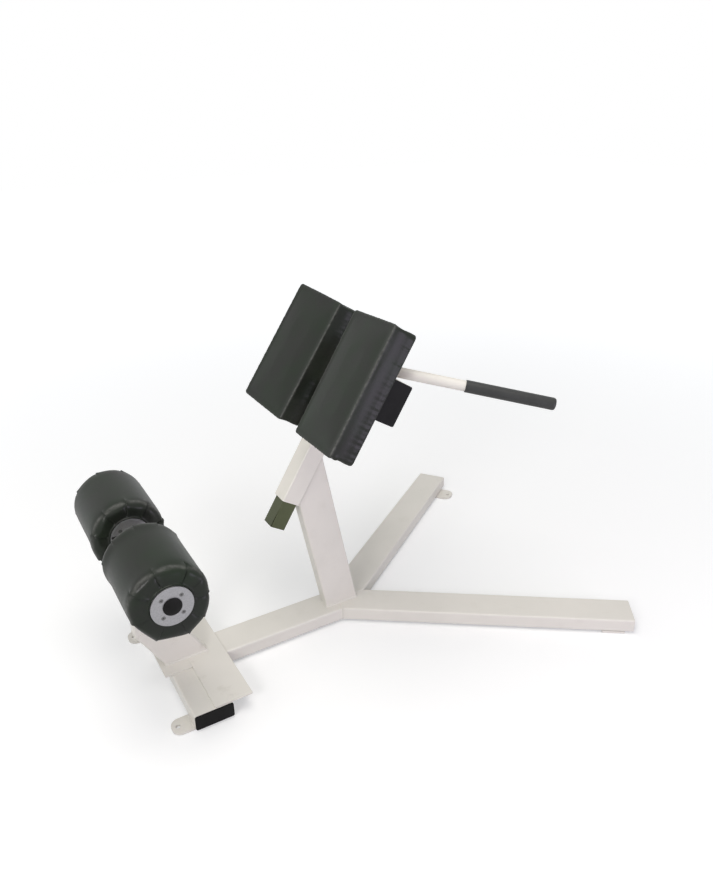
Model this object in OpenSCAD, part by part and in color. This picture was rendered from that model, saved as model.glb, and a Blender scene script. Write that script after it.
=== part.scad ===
// Hyperextension bench: a Y-shaped base, a leaning roller arm, and a telescoping pad carriage.
// +X runs from the ankle rollers towards the splayed legs, +Y is the user's left, +Z is up.
// The origin is on the floor, at the centre of the footprint of the whole bench.

/* [Frame tube] */
// Long side of the rectangular frame tube
tube_w = 100; // [90:1:110]
// Short side of the rectangular frame tube
tube_h = 40; // [36:1:50]
// Wall of the frame tube
tube_t = 3; // [2:0.5:4]
// Outer corner radius of the frame tube
tube_r = 5; // [4:0.5:8]

/* [Base] */
// Length of the foot beam without its end caps
foot_beam_l = 470; // [430:5:560]
// Distance from the centre of the foot beam to the fork of the legs
fork_x = 483; // [440:1:560]
// Angle of each leg off the spine
leg_angle = 36; // [28:1:44]
// Length of each leg from the fork, along its centre line
leg_l = 860; // [760:5:960]
// Thickness of the anchor plates under the frame
anchor_t = 6; // [4:0.5:10]
// Width of the anchor plates under the foot beam
foot_anchor_w = 54; // [46:1:64]
// Width of the anchor plates under the legs
leg_anchor_w = 64; // [52:1:72]
// Reach of an anchor plate past the side of its tube
anchor_reach = 50; // [42:1:64]
// Radius of the floor bolt hole in an anchor plate
anchor_hole_r = 6; // [4:0.5:8]
// Distance from the hole to the rounded end of an anchor plate
anchor_hole_inset = 16; // [13:1:20]
// Distance of each foot anchor plate from the middle of the foot beam
foot_anchor_y = 200; // [170:1:205]
// Distance from the end of a leg to the middle of its anchor plate
leg_anchor_inset = 57; // [40:1:90]

/* [Foot plate] */
// Thickness of the foot plate and of the arm's base plate
deck_t = 4; // [3:0.5:6]
// Depth of the foot plate along the bench
foot_plate_d = 99; // [80:1:120]
// Distance of the foot plate's ends inside the ends of the foot beam
foot_plate_inset = 1; // [0:0.5:20]
// Distance from the middle of the foot beam to the rear edge of the foot plate
foot_plate_x = 5; // [2:1:20]
// Width of the arm's base plate across the bench
arm_plate_w = 124; // [90:1:150]
// Reach of the arm's base plate behind the middle of the foot beam
arm_plate_reach = 68; // [60:1:80]

/* [Roller arm] */
// Height of the roller axle above the floor
axle_z = 422; // [380:1:460]
// Distance of the roller axle behind the middle of the foot beam
axle_back = 78; // [68:1:90]
// Backward lean of the lower half of the arm
arm_lean = 29.5; // [24:0.5:32]
// Distance of the arm's foot in front of the middle of the foot beam
arm_foot_x = 4.5; // [0:0.5:10]
// Height of the knee between the two halves of the arm
knee_z = 180; // [160:1:200]
// Length of the arm above the boss
arm_over = 6; // [5:1:20]
// Radius of the roller axle
axle_r = 15; // [12:0.5:17]
// Outer radius of the boss welded through the arm
boss_r = 20; // [20:0.5:24]
// Reach of the boss past each side of the arm
boss_reach = 10; // [9:0.5:16]
// Radius of the set screws that hold the axle in the boss
set_screw_r = 3; // [2:0.5:4]

/* [Ankle rollers] */
// Radius of a roller over its cover
roller_r = 91; // [80:1:100]
// Distance from the middle of the bench to the inner flange of a roller
roller_in = 46; // [42:1:70]
// Length of a roller over its flanges
roller_l = 243; // [190:1:260]
// Outer radius of the roller core
core_r = 38; // [36:0.5:42]
// Bore radius of the roller core
core_bore_r = 26; // [24:0.5:28]
// Radius of a roller flange
flange_r = 48.5; // [45:0.5:52]
// Thickness of a roller flange
flange_t = 5; // [4:0.5:8]
// Radius of the hole in the middle of a flange
flange_hole_r = 20; // [19.5:0.5:22]
// Radius of the circle of flange screws
flange_screw_pcr = 32; // [31:0.5:33]
// Shank radius of a flange screw
flange_screw_r = 2.5; // [2:0.1:3]
// Length of a flange screw
flange_screw_l = 20; // [14:1:30]
// Length of a roller bush
bush_l = 25; // [18:1:40]
// Number of gathered panels on each end of a roller cover
gathers = 8; // [6:2:12]

/* [Upright and sleeve] */
// Backward lean of the upright
lean = 11; // [6:0.5:16]
// Distance from the centre of the foot beam to the centre of the upright's foot
upright_x = 481; // [450:1:520]
// Height at which the centre lines of the upright and the sleeve cross
cross_z = 520; // [480:1:560]
// Forward lean of the sleeve and of the pads
mast_tilt = 31.9; // [25:0.1:38]
// Outer side of the square sleeve
sleeve_w = 55; // [53:0.5:60]
// Wall of the sleeve
sleeve_t = 3; // [2.5:0.5:3.5]
// Length of the sleeve
sleeve_l = 250; // [230:1:255]
// Length of the sleeve below the crossing with the upright
sleeve_below = 108; // [100:1:120]
// Outer side of the square inner tube
inner_w = 45; // [43:0.5:46]
// Wall of the inner tube
inner_t = 2.5; // [2:0.5:4]
// Length of inner tube that shows below the sleeve
inner_below = 79; // [60:1:100]
// Length of a glide liner
liner_l = 40; // [30:1:45]

/* [Height lock] */
// Height of the locking pin on the sleeve
pin_z = 185; // [180:1:192]
// Radius of the locking pin
pin_r = 5; // [4:0.5:6]
// Travel of the locking pin
pin_travel = 16; // [12:1:20]
// Radius of the pin's barrel
barrel_r = 12; // [10:0.5:14]
// Length of the pin's barrel
barrel_l = 30; // [24:1:40]
// Radius of the pin's knob
knob_r = 17; // [14:0.5:20]
// Spacing of the height holes
hole_pitch = 30; // [25:1:36]
// Height holes that raise the pads above the stored setting
holes_up = 2; // [1:1:2]
// Height holes that lower the pads below the stored setting
holes_down = 2; // [1:1:2]

/* [Pad carriage] */
// Height of the cross beam's section
beam_h = 110; // [90:1:120]
// Depth of the cross beam's section
beam_d = 60; // [52:1:64]
// Length of the cross beam without its end caps
beam_l = 456; // [440:1:470]
// Distance from the foot of the sleeve to the middle of the cross beam
beam_z = 373; // [370:1:385]
// Thickness of the steel plates behind the pads
pad_plate_t = 4; // [3:0.5:6]
// Width of a pad plate
pad_plate_w = 120; // [110:1:140]
// Length of a pad plate
pad_plate_l = 240; // [230:1:270]
// Distance of a pad plate's middle outside the middle of its pad
pad_plate_out = 14; // [8:1:16]
// Thickness of the tapered ribs between the cross beam and a pad plate
rib_t = 6; // [4:1:8]
// Length of a tapered rib along the cross beam
rib_l = 98; // [80:1:104]
// Spacing of the two ribs behind a pad plate
rib_spacing = 90; // [60:1:90]
// Spacing of the pad bolts across a pad
pad_bolt_dy = 90; // [80:1:95]
// Spacing of the pad bolts along a pad
pad_bolt_dz = 200; // [190:1:210]
// Shank radius of a pad bolt
pad_bolt_r = 4; // [3:0.5:4.5]

/* [Thigh pads] */
// Width of a pad at its board
pad_w = 209; // [180:1:220]
// Length of a pad at its board
pad_l = 348; // [320:1:380]
// Distance of a pad's middle inside the end of the cross beam
pad_inset = 76.5; // [70:0.5:80]
// Distance from the foot of the sleeve to the lower edge of the pads
pad_z = 192; // [183:1:200]
// Distance from the front of the cross beam to the back of a pad at the pad's middle
pad_off = 10.5; // [10.5:0.5:14]
// Turn of a pad's face towards the middle of the bench
pad_toe = 4.5; // [2:0.1:4.8]
// Lean of a pad's head towards the other pad
pad_twist = 1.5; // [0:0.1:3]
// Lean of a pad's head back from the line of the sleeve
pad_pitch = 1.2; // [0:0.1:1.4]
// Thickness of a pad's plywood board
board_t = 15; // [15:1:18]
// Thickness of a pad's cushion at its rim
cushion_t = 52; // [40:1:80]
// Height of the crown on a cushion
crown = 2; // [0:0.5:10]
// Corner radius of a pad
pad_r = 8; // [7:1:24]
// Radius of the edge round a cushion's front
cushion_edge_r = 4.5; // [3:0.5:16]
// Depth by which the sides of a cushion are drawn in towards its front
draw_in = 1.5; // [0:0.5:3]

/* [Handles] */
// Outer radius of the handle bar
bar_r = 14; // [12:0.5:16]
// Wall of the handle bar
bar_t = 2.5; // [2:0.5:4]
// Distance from the middle of the bench to the corner of a handle
handle_y = 164; // [155:1:180]
// Distance of a handle's root behind the middle of the cross beam
handle_back = 5; // [0:1:12]
// Bend of a handle out of the line of the cross beam
handle_bend = 54.5; // [45:0.5:65]
// Rise of a handle towards the head of the pads
handle_rise = 18.4; // [10:0.1:26]
// Radius of the bend on the bar's centre line
bend_r = 60; // [45:1:75]
// Length of a handle from its corner to the end of its grip
handle_l = 414; // [360:1:460]
// Length of a grip
grip_l = 230; // [120:1:260]
// Wall of a grip
grip_t = 2; // [1.5:0.5:4]

/* [Clearances] */
// Running clearance between the axle and a bush
run_gap = 0.05; // [0.02:0.01:0.1]
// Gap all round between pieces that are pushed or welded together
fit_gap = 0.1; // [0.05:0.01:0.2]
// Sliding gap between the inner tube and its liners
slide_gap = 0.15; // [0.1:0.01:0.3]
// Gap between a turning piece and its neighbours
turn_gap = 0.5; // [0.3:0.1:1]
// Gap between a soft piece and the hard piece beside it
soft_gap = 0.3; // [0.2:0.05:0.5]

/* [Hidden] */
$fn = 48;
right = -1;
left = 1;

// Larger than any piece, for cutting planes
far_off = 3000;
cut_extra = 1;

tube_top = anchor_t + tube_h;
tube_zc = anchor_t + tube_h / 2;
deck_top = tube_top + deck_t;
foot_plate_l = foot_beam_l - 2 * foot_plate_inset;
axle_x = -axle_back;
knee_x = arm_foot_x - (knee_z - deck_top) * tan(arm_lean);
post_lean = atan((knee_x - axle_x) / (axle_z - knee_z));
rear_x = min(axle_x - roller_r, -tube_w / 2 - anchor_reach);
front_x = fork_x + leg_l * cos(leg_angle) + tube_w / 2 * sin(leg_angle);
mid_x = (rear_x + front_x) / 2;

// End caps and plugs
cap_t = 4;
cap_plug_l = 14;
cap_wall = 2;
plug_l = 12;
plug_recess = 1;

// Places along the axle, from the middle of the bench outwards
boss_y = tube_h / 2 + boss_reach;
arm_top = boss_r + arm_over;
core_y0 = roller_in + flange_t;
core_y1 = roller_in + roller_l - flange_t;
spacer_r = flange_hole_r - 1;
washer_t = 3;
washer_r = flange_hole_r - 2;
end_bolt_r = 6;
end_bolt_l = 30;
end_head_r = 9;
end_head_h = 5;
socket_depth = 2;
set_screw_l = boss_r - axle_r - 0.5;
screw_head_r = 2 * flange_screw_r;
screw_socket_r = 0.8 * flange_screw_r;
hub_lip_r = flange_hole_r + 1.5;
hub_lip_t = 2;
hub_dome_h = 5.5;
hub_dome_base_r = hub_lip_r - 0.5;
hub_flat = 0.1;
hub_hollow_r = end_head_r + 1;
hub_hollow_top = washer_t + end_head_h - flange_t + 1;

// The mast frame: origin at the foot of the sleeve, +Z up the sleeve, +X out of its back
cross_x = upright_x - (cross_z - tube_top) * tan(lean);
mast_x = cross_x - sleeve_below * sin(mast_tilt);
mast_z = cross_z - sleeve_below * cos(mast_tilt);
sleeve_r = 4;
inner_r = 3;
liner_lip = 3;
liner_inset = 2;
beam_t = 3;
beam_r = 5;
inner_top = beam_z - beam_h / 2;
pad_yc = beam_l / 2 - pad_inset;
pad_zc = pad_z + pad_l / 2;
plate_up = beam_z - pad_zc;
plate_r = 8;
board_inset = 1.5;
cushion_corner_min = 2;
bolt_washer_r = 2.1 * pad_bolt_r;
bolt_washer_t = 1.6;
bolt_head_h = 5.3;
bolt_head_r = 1.85 * pad_bolt_r;
tee_r = 1.4 * pad_bolt_r;
tee_flange_r = 2.5 * pad_bolt_r;
tee_flange_t = 1.5;
tee_l = board_t - 3;
knob_l = 26;
knob_seat = 8;
handle_root_y = 52;

function lerp(a, b, t) = a + (b - a) * t;

// One rounded rectangle out of two squares and four circles
module rounded(w, h, r)
{
    square([w - 2 * r, h], center = true);
    square([w, h - 2 * r], center = true);
    for (sx = [-1, 1], sy = [-1, 1])
        translate([sx * (w / 2 - r), sy * (h / 2 - r)]) circle(r);
}

// Hollow rectangular tube along +Z, its section w along X and h along Y
module box_tube(l, w, h, t, r)
{
    linear_extrude(l)
        difference()
        {
            rounded(w, h, r);
            rounded(w - 2 * t, h - 2 * t, max(r - t, 0.5));
        }
}

module bench() { translate([-mid_x, 0, 0]) children(); }
module along_x() { rotate([90, 0, 90]) children(); }
module along_y() { rotate([90, 0, 0]) children(); }
module outwards(side) { rotate([-90 * side, 0, 0]) children(); }
module mast() { bench() translate([mast_x, 0, mast_z]) rotate([0, mast_tilt, 0]) children(); }
module both_sides() { for (side = [right, left]) mirror([0, side > 0 ? 0 : 1, 0]) children(); }
module on_side(side) { mirror([0, side > 0 ? 0 : 1, 0]) children(); }

// A cap that covers a tube's end, with a hollow plug inside the wall; the tube ends at Z = 0
module end_cap(w, h, t, r)
{
    pw = w - 2 * t - 2 * fit_gap;
    ph = h - 2 * t - 2 * fit_gap;
    linear_extrude(cap_t) rounded(w, h, r);
    translate([0, 0, -cap_plug_l])
        linear_extrude(cap_plug_l)
            difference()
            {
                rounded(pw, ph, max(r - t, 0.5));
                square([pw - 2 * cap_wall, ph - 2 * cap_wall], center = true);
            }
}

// A plug set just inside a tube's end; the tube ends at Z = 0
module end_plug(w, h, t, r)
{
    pw = w - 2 * t - 2 * fit_gap;
    ph = h - 2 * t - 2 * fit_gap;
    translate([0, 0, -plug_recess - plug_l])
        linear_extrude(plug_l) rounded(pw, ph, max(r - t, 0.5));
}

module foot_beam()
{
    color("gainsboro")
        bench() translate([0, foot_beam_l / 2, tube_zc])
            along_y() box_tube(foot_beam_l, tube_w, tube_h, tube_t, tube_r);
}

module foot_beam_caps()
{
    color("black")
        bench() both_sides() translate([0, foot_beam_l / 2, tube_zc])
            outwards(1) end_cap(tube_w, tube_h, tube_t, tube_r);
}

// The spine runs from the side of the foot beam to a point that fits between the legs
module spine()
{
    mitre = tube_w * tan(leg_angle / 2);
    color("gainsboro")
        bench() intersection()
        {
            translate([0, 0, tube_zc])
                along_x() box_tube(fork_x + cut_extra, tube_w, tube_h, tube_t, tube_r);
            linear_extrude(tube_top + cut_extra)
                polygon([[tube_w / 2, -tube_w], [fork_x - mitre, -tube_w], [fork_x, 0],
                         [fork_x - mitre, tube_w], [tube_w / 2, tube_w]]);
        }
}

// A leg is mitred against the spine on its outer side and against the other leg in the middle
module leg(side)
{
    reach = leg_l + tube_w;
    bench() on_side(side) intersection()
    {
        translate([fork_x, 0, tube_zc]) rotate([0, 0, leg_angle]) translate([-tube_w, 0, 0])
            along_x() box_tube(reach, tube_w, tube_h, tube_t, tube_r);
        translate([fork_x, 0, 0]) linear_extrude(tube_top + cut_extra)
            polygon([[0, 0], [far_off, 0], [far_off, far_off],
                     [-far_off * tan(leg_angle / 2), far_off]]);
    }
}

module right_leg() { color("gainsboro") leg(right); }
module left_leg() { color("gainsboro") leg(left); }

module leg_end_plugs()
{
    color("dimgray")
        bench() both_sides() translate([fork_x, 0, tube_zc]) rotate([0, 0, leg_angle])
            translate([leg_l, 0, 0]) along_x() end_plug(tube_w, tube_h, tube_t, tube_r);
}

// An anchor plate lies across its tube; +X is the end with the floor bolt hole
module anchor_plate(w)
{
    end_r = 0.42 * w;
    back = tube_w / 2;
    front = tube_w / 2 + anchor_reach;
    difference()
    {
        linear_extrude(anchor_t)
        {
            translate([-back, -w / 2]) square([back + front - end_r, w]);
            translate([front - end_r - cut_extra, -(w / 2 - end_r)])
                square([end_r + cut_extra, w - 2 * end_r]);
            for (s = [-1, 1]) translate([front - end_r, s * (w / 2 - end_r)]) circle(end_r);
        }
        translate([front - anchor_hole_inset, 0, -cut_extra])
            cylinder(anchor_t + 2 * cut_extra, r = anchor_hole_r);
    }
}

module foot_anchor_plates()
{
    color("gainsboro")
        bench() both_sides() translate([0, foot_anchor_y, 0])
            rotate([0, 0, 180]) anchor_plate(foot_anchor_w);
}

module leg_anchor_plates()
{
    color("gainsboro")
        bench() both_sides() translate([fork_x, 0, 0]) rotate([0, 0, leg_angle])
            translate([leg_l - leg_anchor_inset, 0, 0]) rotate([0, 0, -90])
                anchor_plate(leg_anchor_w);
}

// The foot plate lies on the front half of the foot beam and overhangs the spine
module foot_plate()
{
    color("gainsboro")
        bench() translate([foot_plate_x + foot_plate_d / 2, 0, tube_top])
            linear_extrude(deck_t) rounded(foot_plate_d, foot_plate_l, 3);
}

// The arm's base plate fills in behind the foot plate and stands out past the foot beam
module arm_base_plate()
{
    depth = arm_plate_reach + foot_plate_x - fit_gap;
    color("gainsboro")
        bench() translate([depth / 2 - arm_plate_reach, 0, tube_top])
            linear_extrude(deck_t) rounded(depth, arm_plate_w, 3);
}

// The arm is mitred at its knee. The lower half leans back from the plates on the foot beam, the
// upper half carries the axle. Both have the long side of their section along the bench.
module knee_side(up)
{
    translate([knee_x, 0, knee_z]) rotate([0, -(arm_lean + post_lean) / 2, 0])
        translate([-far_off / 2, -far_off / 2, up ? 0 : -far_off])
            cube([far_off, far_off, far_off]);
}

module roller_arm_lower()
{
    rise = (knee_z - deck_top) / cos(arm_lean);
    color("gainsboro")
        bench() difference()
        {
            intersection()
            {
                translate([knee_x, 0, knee_z]) rotate([0, -arm_lean, 0])
                    translate([0, 0, -rise - tube_w])
                        box_tube(rise + 2 * tube_w, tube_w, tube_h, tube_t, tube_r);
                knee_side(false);
            }
            translate([-far_off / 2, -far_off / 2, deck_top - far_off])
                cube([far_off, far_off, far_off]);
        }
}

module roller_arm_upper()
{
    rise = (axle_z - knee_z) / cos(post_lean);
    color("gainsboro")
        bench() difference()
        {
            intersection()
            {
                translate([axle_x, 0, axle_z]) rotate([0, -post_lean, 0])
                    translate([0, 0, -rise - tube_w])
                        box_tube(rise + tube_w + arm_top, tube_w, tube_h, tube_t, tube_r);
                knee_side(true);
            }
            translate([axle_x, tube_h, axle_z])
                along_y() cylinder(2 * tube_h, r = boss_r + fit_gap);
        }
}

module arm_top_cap()
{
    color("black")
        bench() translate([axle_x, 0, axle_z]) rotate([0, -post_lean, 0])
            translate([0, 0, arm_top])
            {
                linear_extrude(cap_t) rounded(tube_w, tube_h, tube_r);
                translate([0, 0, turn_gap - arm_over])
                    linear_extrude(arm_over - turn_gap)
                        rounded(tube_w - 2 * tube_t - 2 * fit_gap,
                                tube_h - 2 * tube_t - 2 * fit_gap, max(tube_r - tube_t, 0.5));
            }
}

module at_axle() { bench() translate([axle_x, 0, axle_z]) children(); }

module axle_boss()
{
    color("silver")
        at_axle() difference()
        {
            translate([0, boss_y, 0]) along_y() cylinder(2 * boss_y, r = boss_r);
            translate([0, boss_y + cut_extra, 0])
                along_y() cylinder(2 * boss_y + 2 * cut_extra, r = axle_r + run_gap);
            for (side = [right, left])
                translate([0, side * (boss_y - boss_reach / 2), 0])
                    cylinder(boss_r + cut_extra, r = set_screw_r + fit_gap);
        }
}

module axle()
{
    color("silver")
        at_axle() difference()
        {
            translate([0, core_y1, 0]) along_y() cylinder(2 * core_y1, r = axle_r);
            for (side = [right, left])
                translate([0, side * core_y1, 0]) outwards(-side)
                    translate([0, 0, -cut_extra])
                        cylinder(end_bolt_l + 2 + cut_extra, r = end_bolt_r + run_gap);
        }
}

module axle_set_screws()
{
    color("dimgray")
        at_axle() for (side = [right, left])
            translate([0, side * (boss_y - boss_reach / 2), axle_r + run_gap])
                difference()
                {
                    cylinder(set_screw_l, r = set_screw_r);
                    translate([0, 0, set_screw_l - socket_depth])
                        cylinder(socket_depth + cut_extra, r = set_screw_r / 2, $fn = 6);
                }
}

module axle_spacers()
{
    color("silver")
        at_axle() both_sides() translate([0, boss_y, 0]) outwards(1) difference()
        {
            cylinder(core_y0 - turn_gap - boss_y, r = spacer_r);
            translate([0, 0, -cut_extra])
                cylinder(core_y0, r = axle_r + run_gap);
        }
}

module axle_washers()
{
    color("silver")
        at_axle() both_sides() translate([0, core_y1, 0]) outwards(1) difference()
        {
            cylinder(washer_t, r = washer_r);
            translate([0, 0, -cut_extra])
                cylinder(washer_t + 2 * cut_extra, r = end_bolt_r + run_gap);
        }
}

module axle_bolts()
{
    color("dimgray")
        at_axle() both_sides() translate([0, core_y1 + washer_t, 0]) outwards(1) difference()
        {
            union()
            {
                cylinder(end_head_h, r = end_head_r);
                translate([0, 0, -end_bolt_l]) cylinder(end_bolt_l + cut_extra, r = end_bolt_r);
            }
            translate([0, 0, end_head_h - socket_depth])
                cylinder(socket_depth + cut_extra, r = end_head_r / 2, $fn = 6);
        }
}

// Roller pieces are drawn for the left side, along +Z of a frame that starts at the core's end
module roller_place(side)
{
    at_axle() on_side(side) translate([0, core_y0, 0]) outwards(1) children();
}

module flange_holes(r, depth)
{
    for (a = [45:90:315]) rotate([0, 0, a])
        translate([flange_screw_pcr, 0, 0]) cylinder(depth, r = r);
}

module roller_core(side)
{
    length = core_y1 - core_y0;
    color("dimgray")
        roller_place(side) difference()
        {
            cylinder(length, r = core_r);
            translate([0, 0, -cut_extra]) cylinder(length + 2 * cut_extra, r = core_bore_r);
            translate([0, 0, -cut_extra])
                flange_holes(flange_screw_r + run_gap, flange_screw_l + cut_extra);
            translate([0, 0, length - flange_screw_l])
                flange_holes(flange_screw_r + run_gap, flange_screw_l + cut_extra);
        }
}

// One flange with countersunk holes, its inner face at Z = 0 and its outer face up
module flange()
{
    sink = screw_head_r - flange_screw_r;
    difference()
    {
        cylinder(flange_t, r = flange_r);
        translate([0, 0, -cut_extra]) cylinder(flange_t + 2 * cut_extra, r = flange_hole_r);
        translate([0, 0, -cut_extra]) flange_holes(flange_screw_r + fit_gap, flange_t);
        for (a = [45:90:315]) rotate([0, 0, a]) translate([flange_screw_pcr, 0, flange_t - sink])
            cylinder(sink + cut_extra, r1 = flange_screw_r + fit_gap,
                     r2 = screw_head_r + fit_gap + cut_extra);
    }
}

module flange_pair(side)
{
    roller_place(side)
    {
        translate([0, 0, core_y1 - core_y0]) children();
        mirror([0, 0, 1]) children();
    }
}

module flange_screws()
{
    sink = screw_head_r - flange_screw_r;
    for (a = [45:90:315]) rotate([0, 0, a]) translate([flange_screw_pcr, 0, flange_t])
        difference()
        {
            union()
            {
                translate([0, 0, -sink]) cylinder(sink, r1 = flange_screw_r, r2 = screw_head_r);
                translate([0, 0, -flange_screw_l])
                    cylinder(flange_screw_l - sink + fit_gap, r = flange_screw_r);
            }
            translate([0, 0, -socket_depth])
                cylinder(socket_depth + cut_extra, r = screw_socket_r, $fn = 6);
        }
}

module bushes()
{
    translate([0, 0, -bush_l]) difference()
    {
        cylinder(bush_l, r = core_bore_r - fit_gap);
        translate([0, 0, -cut_extra]) cylinder(bush_l + 2 * cut_extra, r = axle_r + run_gap);
    }
}

// A domed cap with a hollow back closes the outer flange's hole; the dome's very top is flat
module hub_cap(side)
{
    rise = hub_dome_h - hub_lip_t;
    dome_r = (pow(hub_dome_base_r, 2) + pow(rise, 2)) / (2 * rise);
    color("black")
        roller_place(side) translate([0, 0, core_y1 - core_y0 + flange_t]) rotate_extrude()
            difference()
            {
                union()
                {
                    square([hub_lip_r, hub_lip_t]);
                    translate([0, 1 - flange_t]) square([flange_hole_r - fit_gap, flange_t]);
                    intersection()
                    {
                        translate([0, hub_dome_h - dome_r]) circle(dome_r, $fn = 96);
                        square([hub_lip_r, hub_dome_h - hub_flat]);
                    }
                }
                translate([0, -flange_t]) square([washer_r + turn_gap, flange_t]);
                translate([0, -cut_extra]) square([hub_hollow_r, hub_hollow_top + cut_extra]);
            }
}

// The cover of a roller: rings round the axle. A ring is [distance from the end of the core,
// radius, share of the gathered outline, depth of the gathers]
cover_bore_r = core_r + soft_gap;
cover_n = 6 * gathers;
cover_end = [[soft_gap, cover_bore_r, 0, 0], [soft_gap, flange_r - 2, 0, 0],
             [0.8, flange_r + 1.5, 0.1, 0.3], [3, lerp(flange_r, roller_r, 0.4), 0.5, 1.8],
             [6.5, lerp(flange_r, roller_r, 0.84), 0.6, 1.6], [13, 1.02 * roller_r, 0.65, 0],
             [24, 1.015 * roller_r, 0.4, 0], [44, roller_r, 0, 0]];

// The outline of a gathered end is a polygon with as many corners as there are gathers
function gathered(a) = let (step = 360 / gathers, b = (a + step / 2) % step - step / 2)
    cos(step / 2) / cos(step / 2 - abs(b));
function cover_point(ring, a, z, dir) =
    let (at_corner = abs((a + 180 / gathers) % (360 / gathers) - 180 / gathers) < 1)
    let (r = ring[1] * lerp(1, gathered(a), ring[2]))
    [r * cos(a), r * sin(a), z + dir * (ring[0] + (at_corner ? ring[3] : 0))];
function cover_rings(length) = concat(
    [for (ring = cover_end) [ring, 0, 1]],
    [for (i = [len(cover_end) - 1:-1:0]) [cover_end[i], length, -1]]);

module roller_cover(side)
{
    rings = cover_rings(core_y1 - core_y0);
    count = len(rings);
    phase = 180 / gathers;
    points = [for (ring = rings, k = [0:cover_n - 1])
                  cover_point(ring[0], 360 * k / cover_n, ring[1], ring[2])];
    faces = [for (i = [0:count - 1], k = [0:cover_n - 1])
                 let (a = i * cover_n, b = ((i + 1) % count) * cover_n, m = (k + 1) % cover_n)
                 each [[a + k, b + k, b + m], [a + k, b + m, a + m]]];
    color("darkslategray")
        roller_place(side) rotate([0, 0, phase]) polyhedron(points, faces);
}

module right_roller_core() { roller_core(right); }
module right_roller_cover() { roller_cover(right); }
module right_roller_flanges() { color("silver") flange_pair(right) flange(); }
module right_flange_screws() { color("gray") flange_pair(right) flange_screws(); }
module right_roller_bushes() { color("ivory") flange_pair(right) bushes(); }
module right_hub_cap() { hub_cap(right); }
module left_roller_core() { roller_core(left); }
module left_roller_cover() { roller_cover(left); }
module left_roller_flanges() { color("silver") flange_pair(left) flange(); }
module left_flange_screws() { color("gray") flange_pair(left) flange_screws(); }
module left_roller_bushes() { color("ivory") flange_pair(left) bushes(); }
module left_hub_cap() { hub_cap(left); }

// The upright stands over the fork and is cut to the back of the sleeve
module upright()
{
    rise = (cross_z - tube_top) / cos(lean);
    color("gainsboro") difference()
    {
        bench() translate([upright_x, 0, tube_top]) rotate([0, -lean, 0])
            translate([0, 0, -tube_w / 2])
                box_tube(rise + 2 * tube_w, tube_w, tube_h, tube_t, tube_r);
        bench() translate([0, -far_off / 2, tube_top - far_off])
            cube([far_off, far_off, far_off]);
        mast() translate([sleeve_w / 2 - far_off, -far_off / 2, -far_off / 2])
            cube([far_off, far_off, far_off]);
    }
}

module sleeve()
{
    color("gainsboro")
        mast() difference()
        {
            box_tube(sleeve_l, sleeve_w, sleeve_w, sleeve_t, sleeve_r);
            translate([0, 0, pin_z]) rotate([0, 90, 0])
                cylinder(sleeve_w, r = pin_r + fit_gap);
        }
}

// Two glide liners; the upper one has a lip on the sleeve's rim
module sleeve_liners()
{
    cavity = sleeve_w - 2 * sleeve_t - 2 * fit_gap;
    wall = (cavity - inner_w) / 2 - slide_gap;
    lip_wall = (sleeve_w - inner_w) / 2 - slide_gap;
    inner_corner = max(inner_r - 1, 0.5);
    color("dimgray") mast()
    {
        translate([0, 0, liner_inset])
            box_tube(liner_l, cavity, cavity, wall, sleeve_r - sleeve_t + wall - inner_corner + 1.5);
        translate([0, 0, sleeve_l - liner_l])
            box_tube(liner_l, cavity, cavity, wall, sleeve_r - sleeve_t + wall - inner_corner + 1.5);
        translate([0, 0, sleeve_l])
            box_tube(liner_lip, sleeve_w, sleeve_w, lip_wall, sleeve_r);
    }
}

module pin_place(x) { mast() translate([x, 0, pin_z]) rotate([0, 90, 0]) children(); }

module pin_barrel()
{
    color("silver") pin_place(sleeve_w / 2) difference()
    {
        cylinder(barrel_l, r = barrel_r);
        translate([0, 0, -cut_extra])
            cylinder(barrel_l + 2 * cut_extra, r = pin_r + run_gap);
    }
}

// The pin is stored pulled out: its tip clears the inner tube by the sleeve's inner gap
pin_tip = sleeve_w / 2 - sleeve_t;
pin_l = sleeve_t + barrel_l + pin_travel + knob_seat;

module locking_pin()
{
    color("silver") pin_place(pin_tip) cylinder(pin_l, r = pin_r);
}

// A knob with a waist and a rounded head, turned about the pin
module pin_knob()
{
    waist_r = 0.62 * knob_r;
    edge_r = 4;
    color("black") pin_place(pin_tip + pin_l - knob_seat) difference()
    {
        rotate_extrude()
        {
            square([waist_r, knob_l - edge_r]);
            translate([0, knob_l / 2]) square([knob_r, knob_l / 2 - edge_r]);
            translate([0, knob_l / 2 - edge_r]) square([knob_r - edge_r, knob_l / 2 + edge_r]);
            translate([knob_r - edge_r, knob_l - edge_r]) circle(edge_r);
            translate([knob_r - edge_r, knob_l / 2]) circle(edge_r);
        }
        translate([0, 0, -cut_extra]) cylinder(knob_seat + cut_extra, r = pin_r + fit_gap);
    }
}

// The chromed inner tube has its height holes in the back wall, where the pin comes in
module inner_tube()
{
    color("lightgray")
        mast() difference()
        {
            translate([0, 0, -inner_below])
                box_tube(inner_top + inner_below, inner_w, inner_w, inner_t, inner_r);
            for (k = [-holes_up:holes_down])
                translate([0, 0, pin_z + k * hole_pitch]) rotate([0, 90, 0])
                    cylinder(inner_w, r = pin_r + slide_gap);
        }
}

module inner_tube_plug()
{
    color("black")
        mast() translate([0, 0, -inner_below]) mirror([0, 0, 1])
            end_plug(inner_w, inner_w, inner_t, inner_r);
}

module cross_beam()
{
    color("gainsboro")
        mast() translate([0, beam_l / 2, beam_z])
            along_y() box_tube(beam_l, beam_d, beam_h, beam_t, beam_r);
}

module cross_beam_caps()
{
    color("black")
        mast() both_sides() translate([0, beam_l / 2, beam_z])
            outwards(1) end_cap(beam_d, beam_h, beam_t, beam_r);
}

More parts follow.
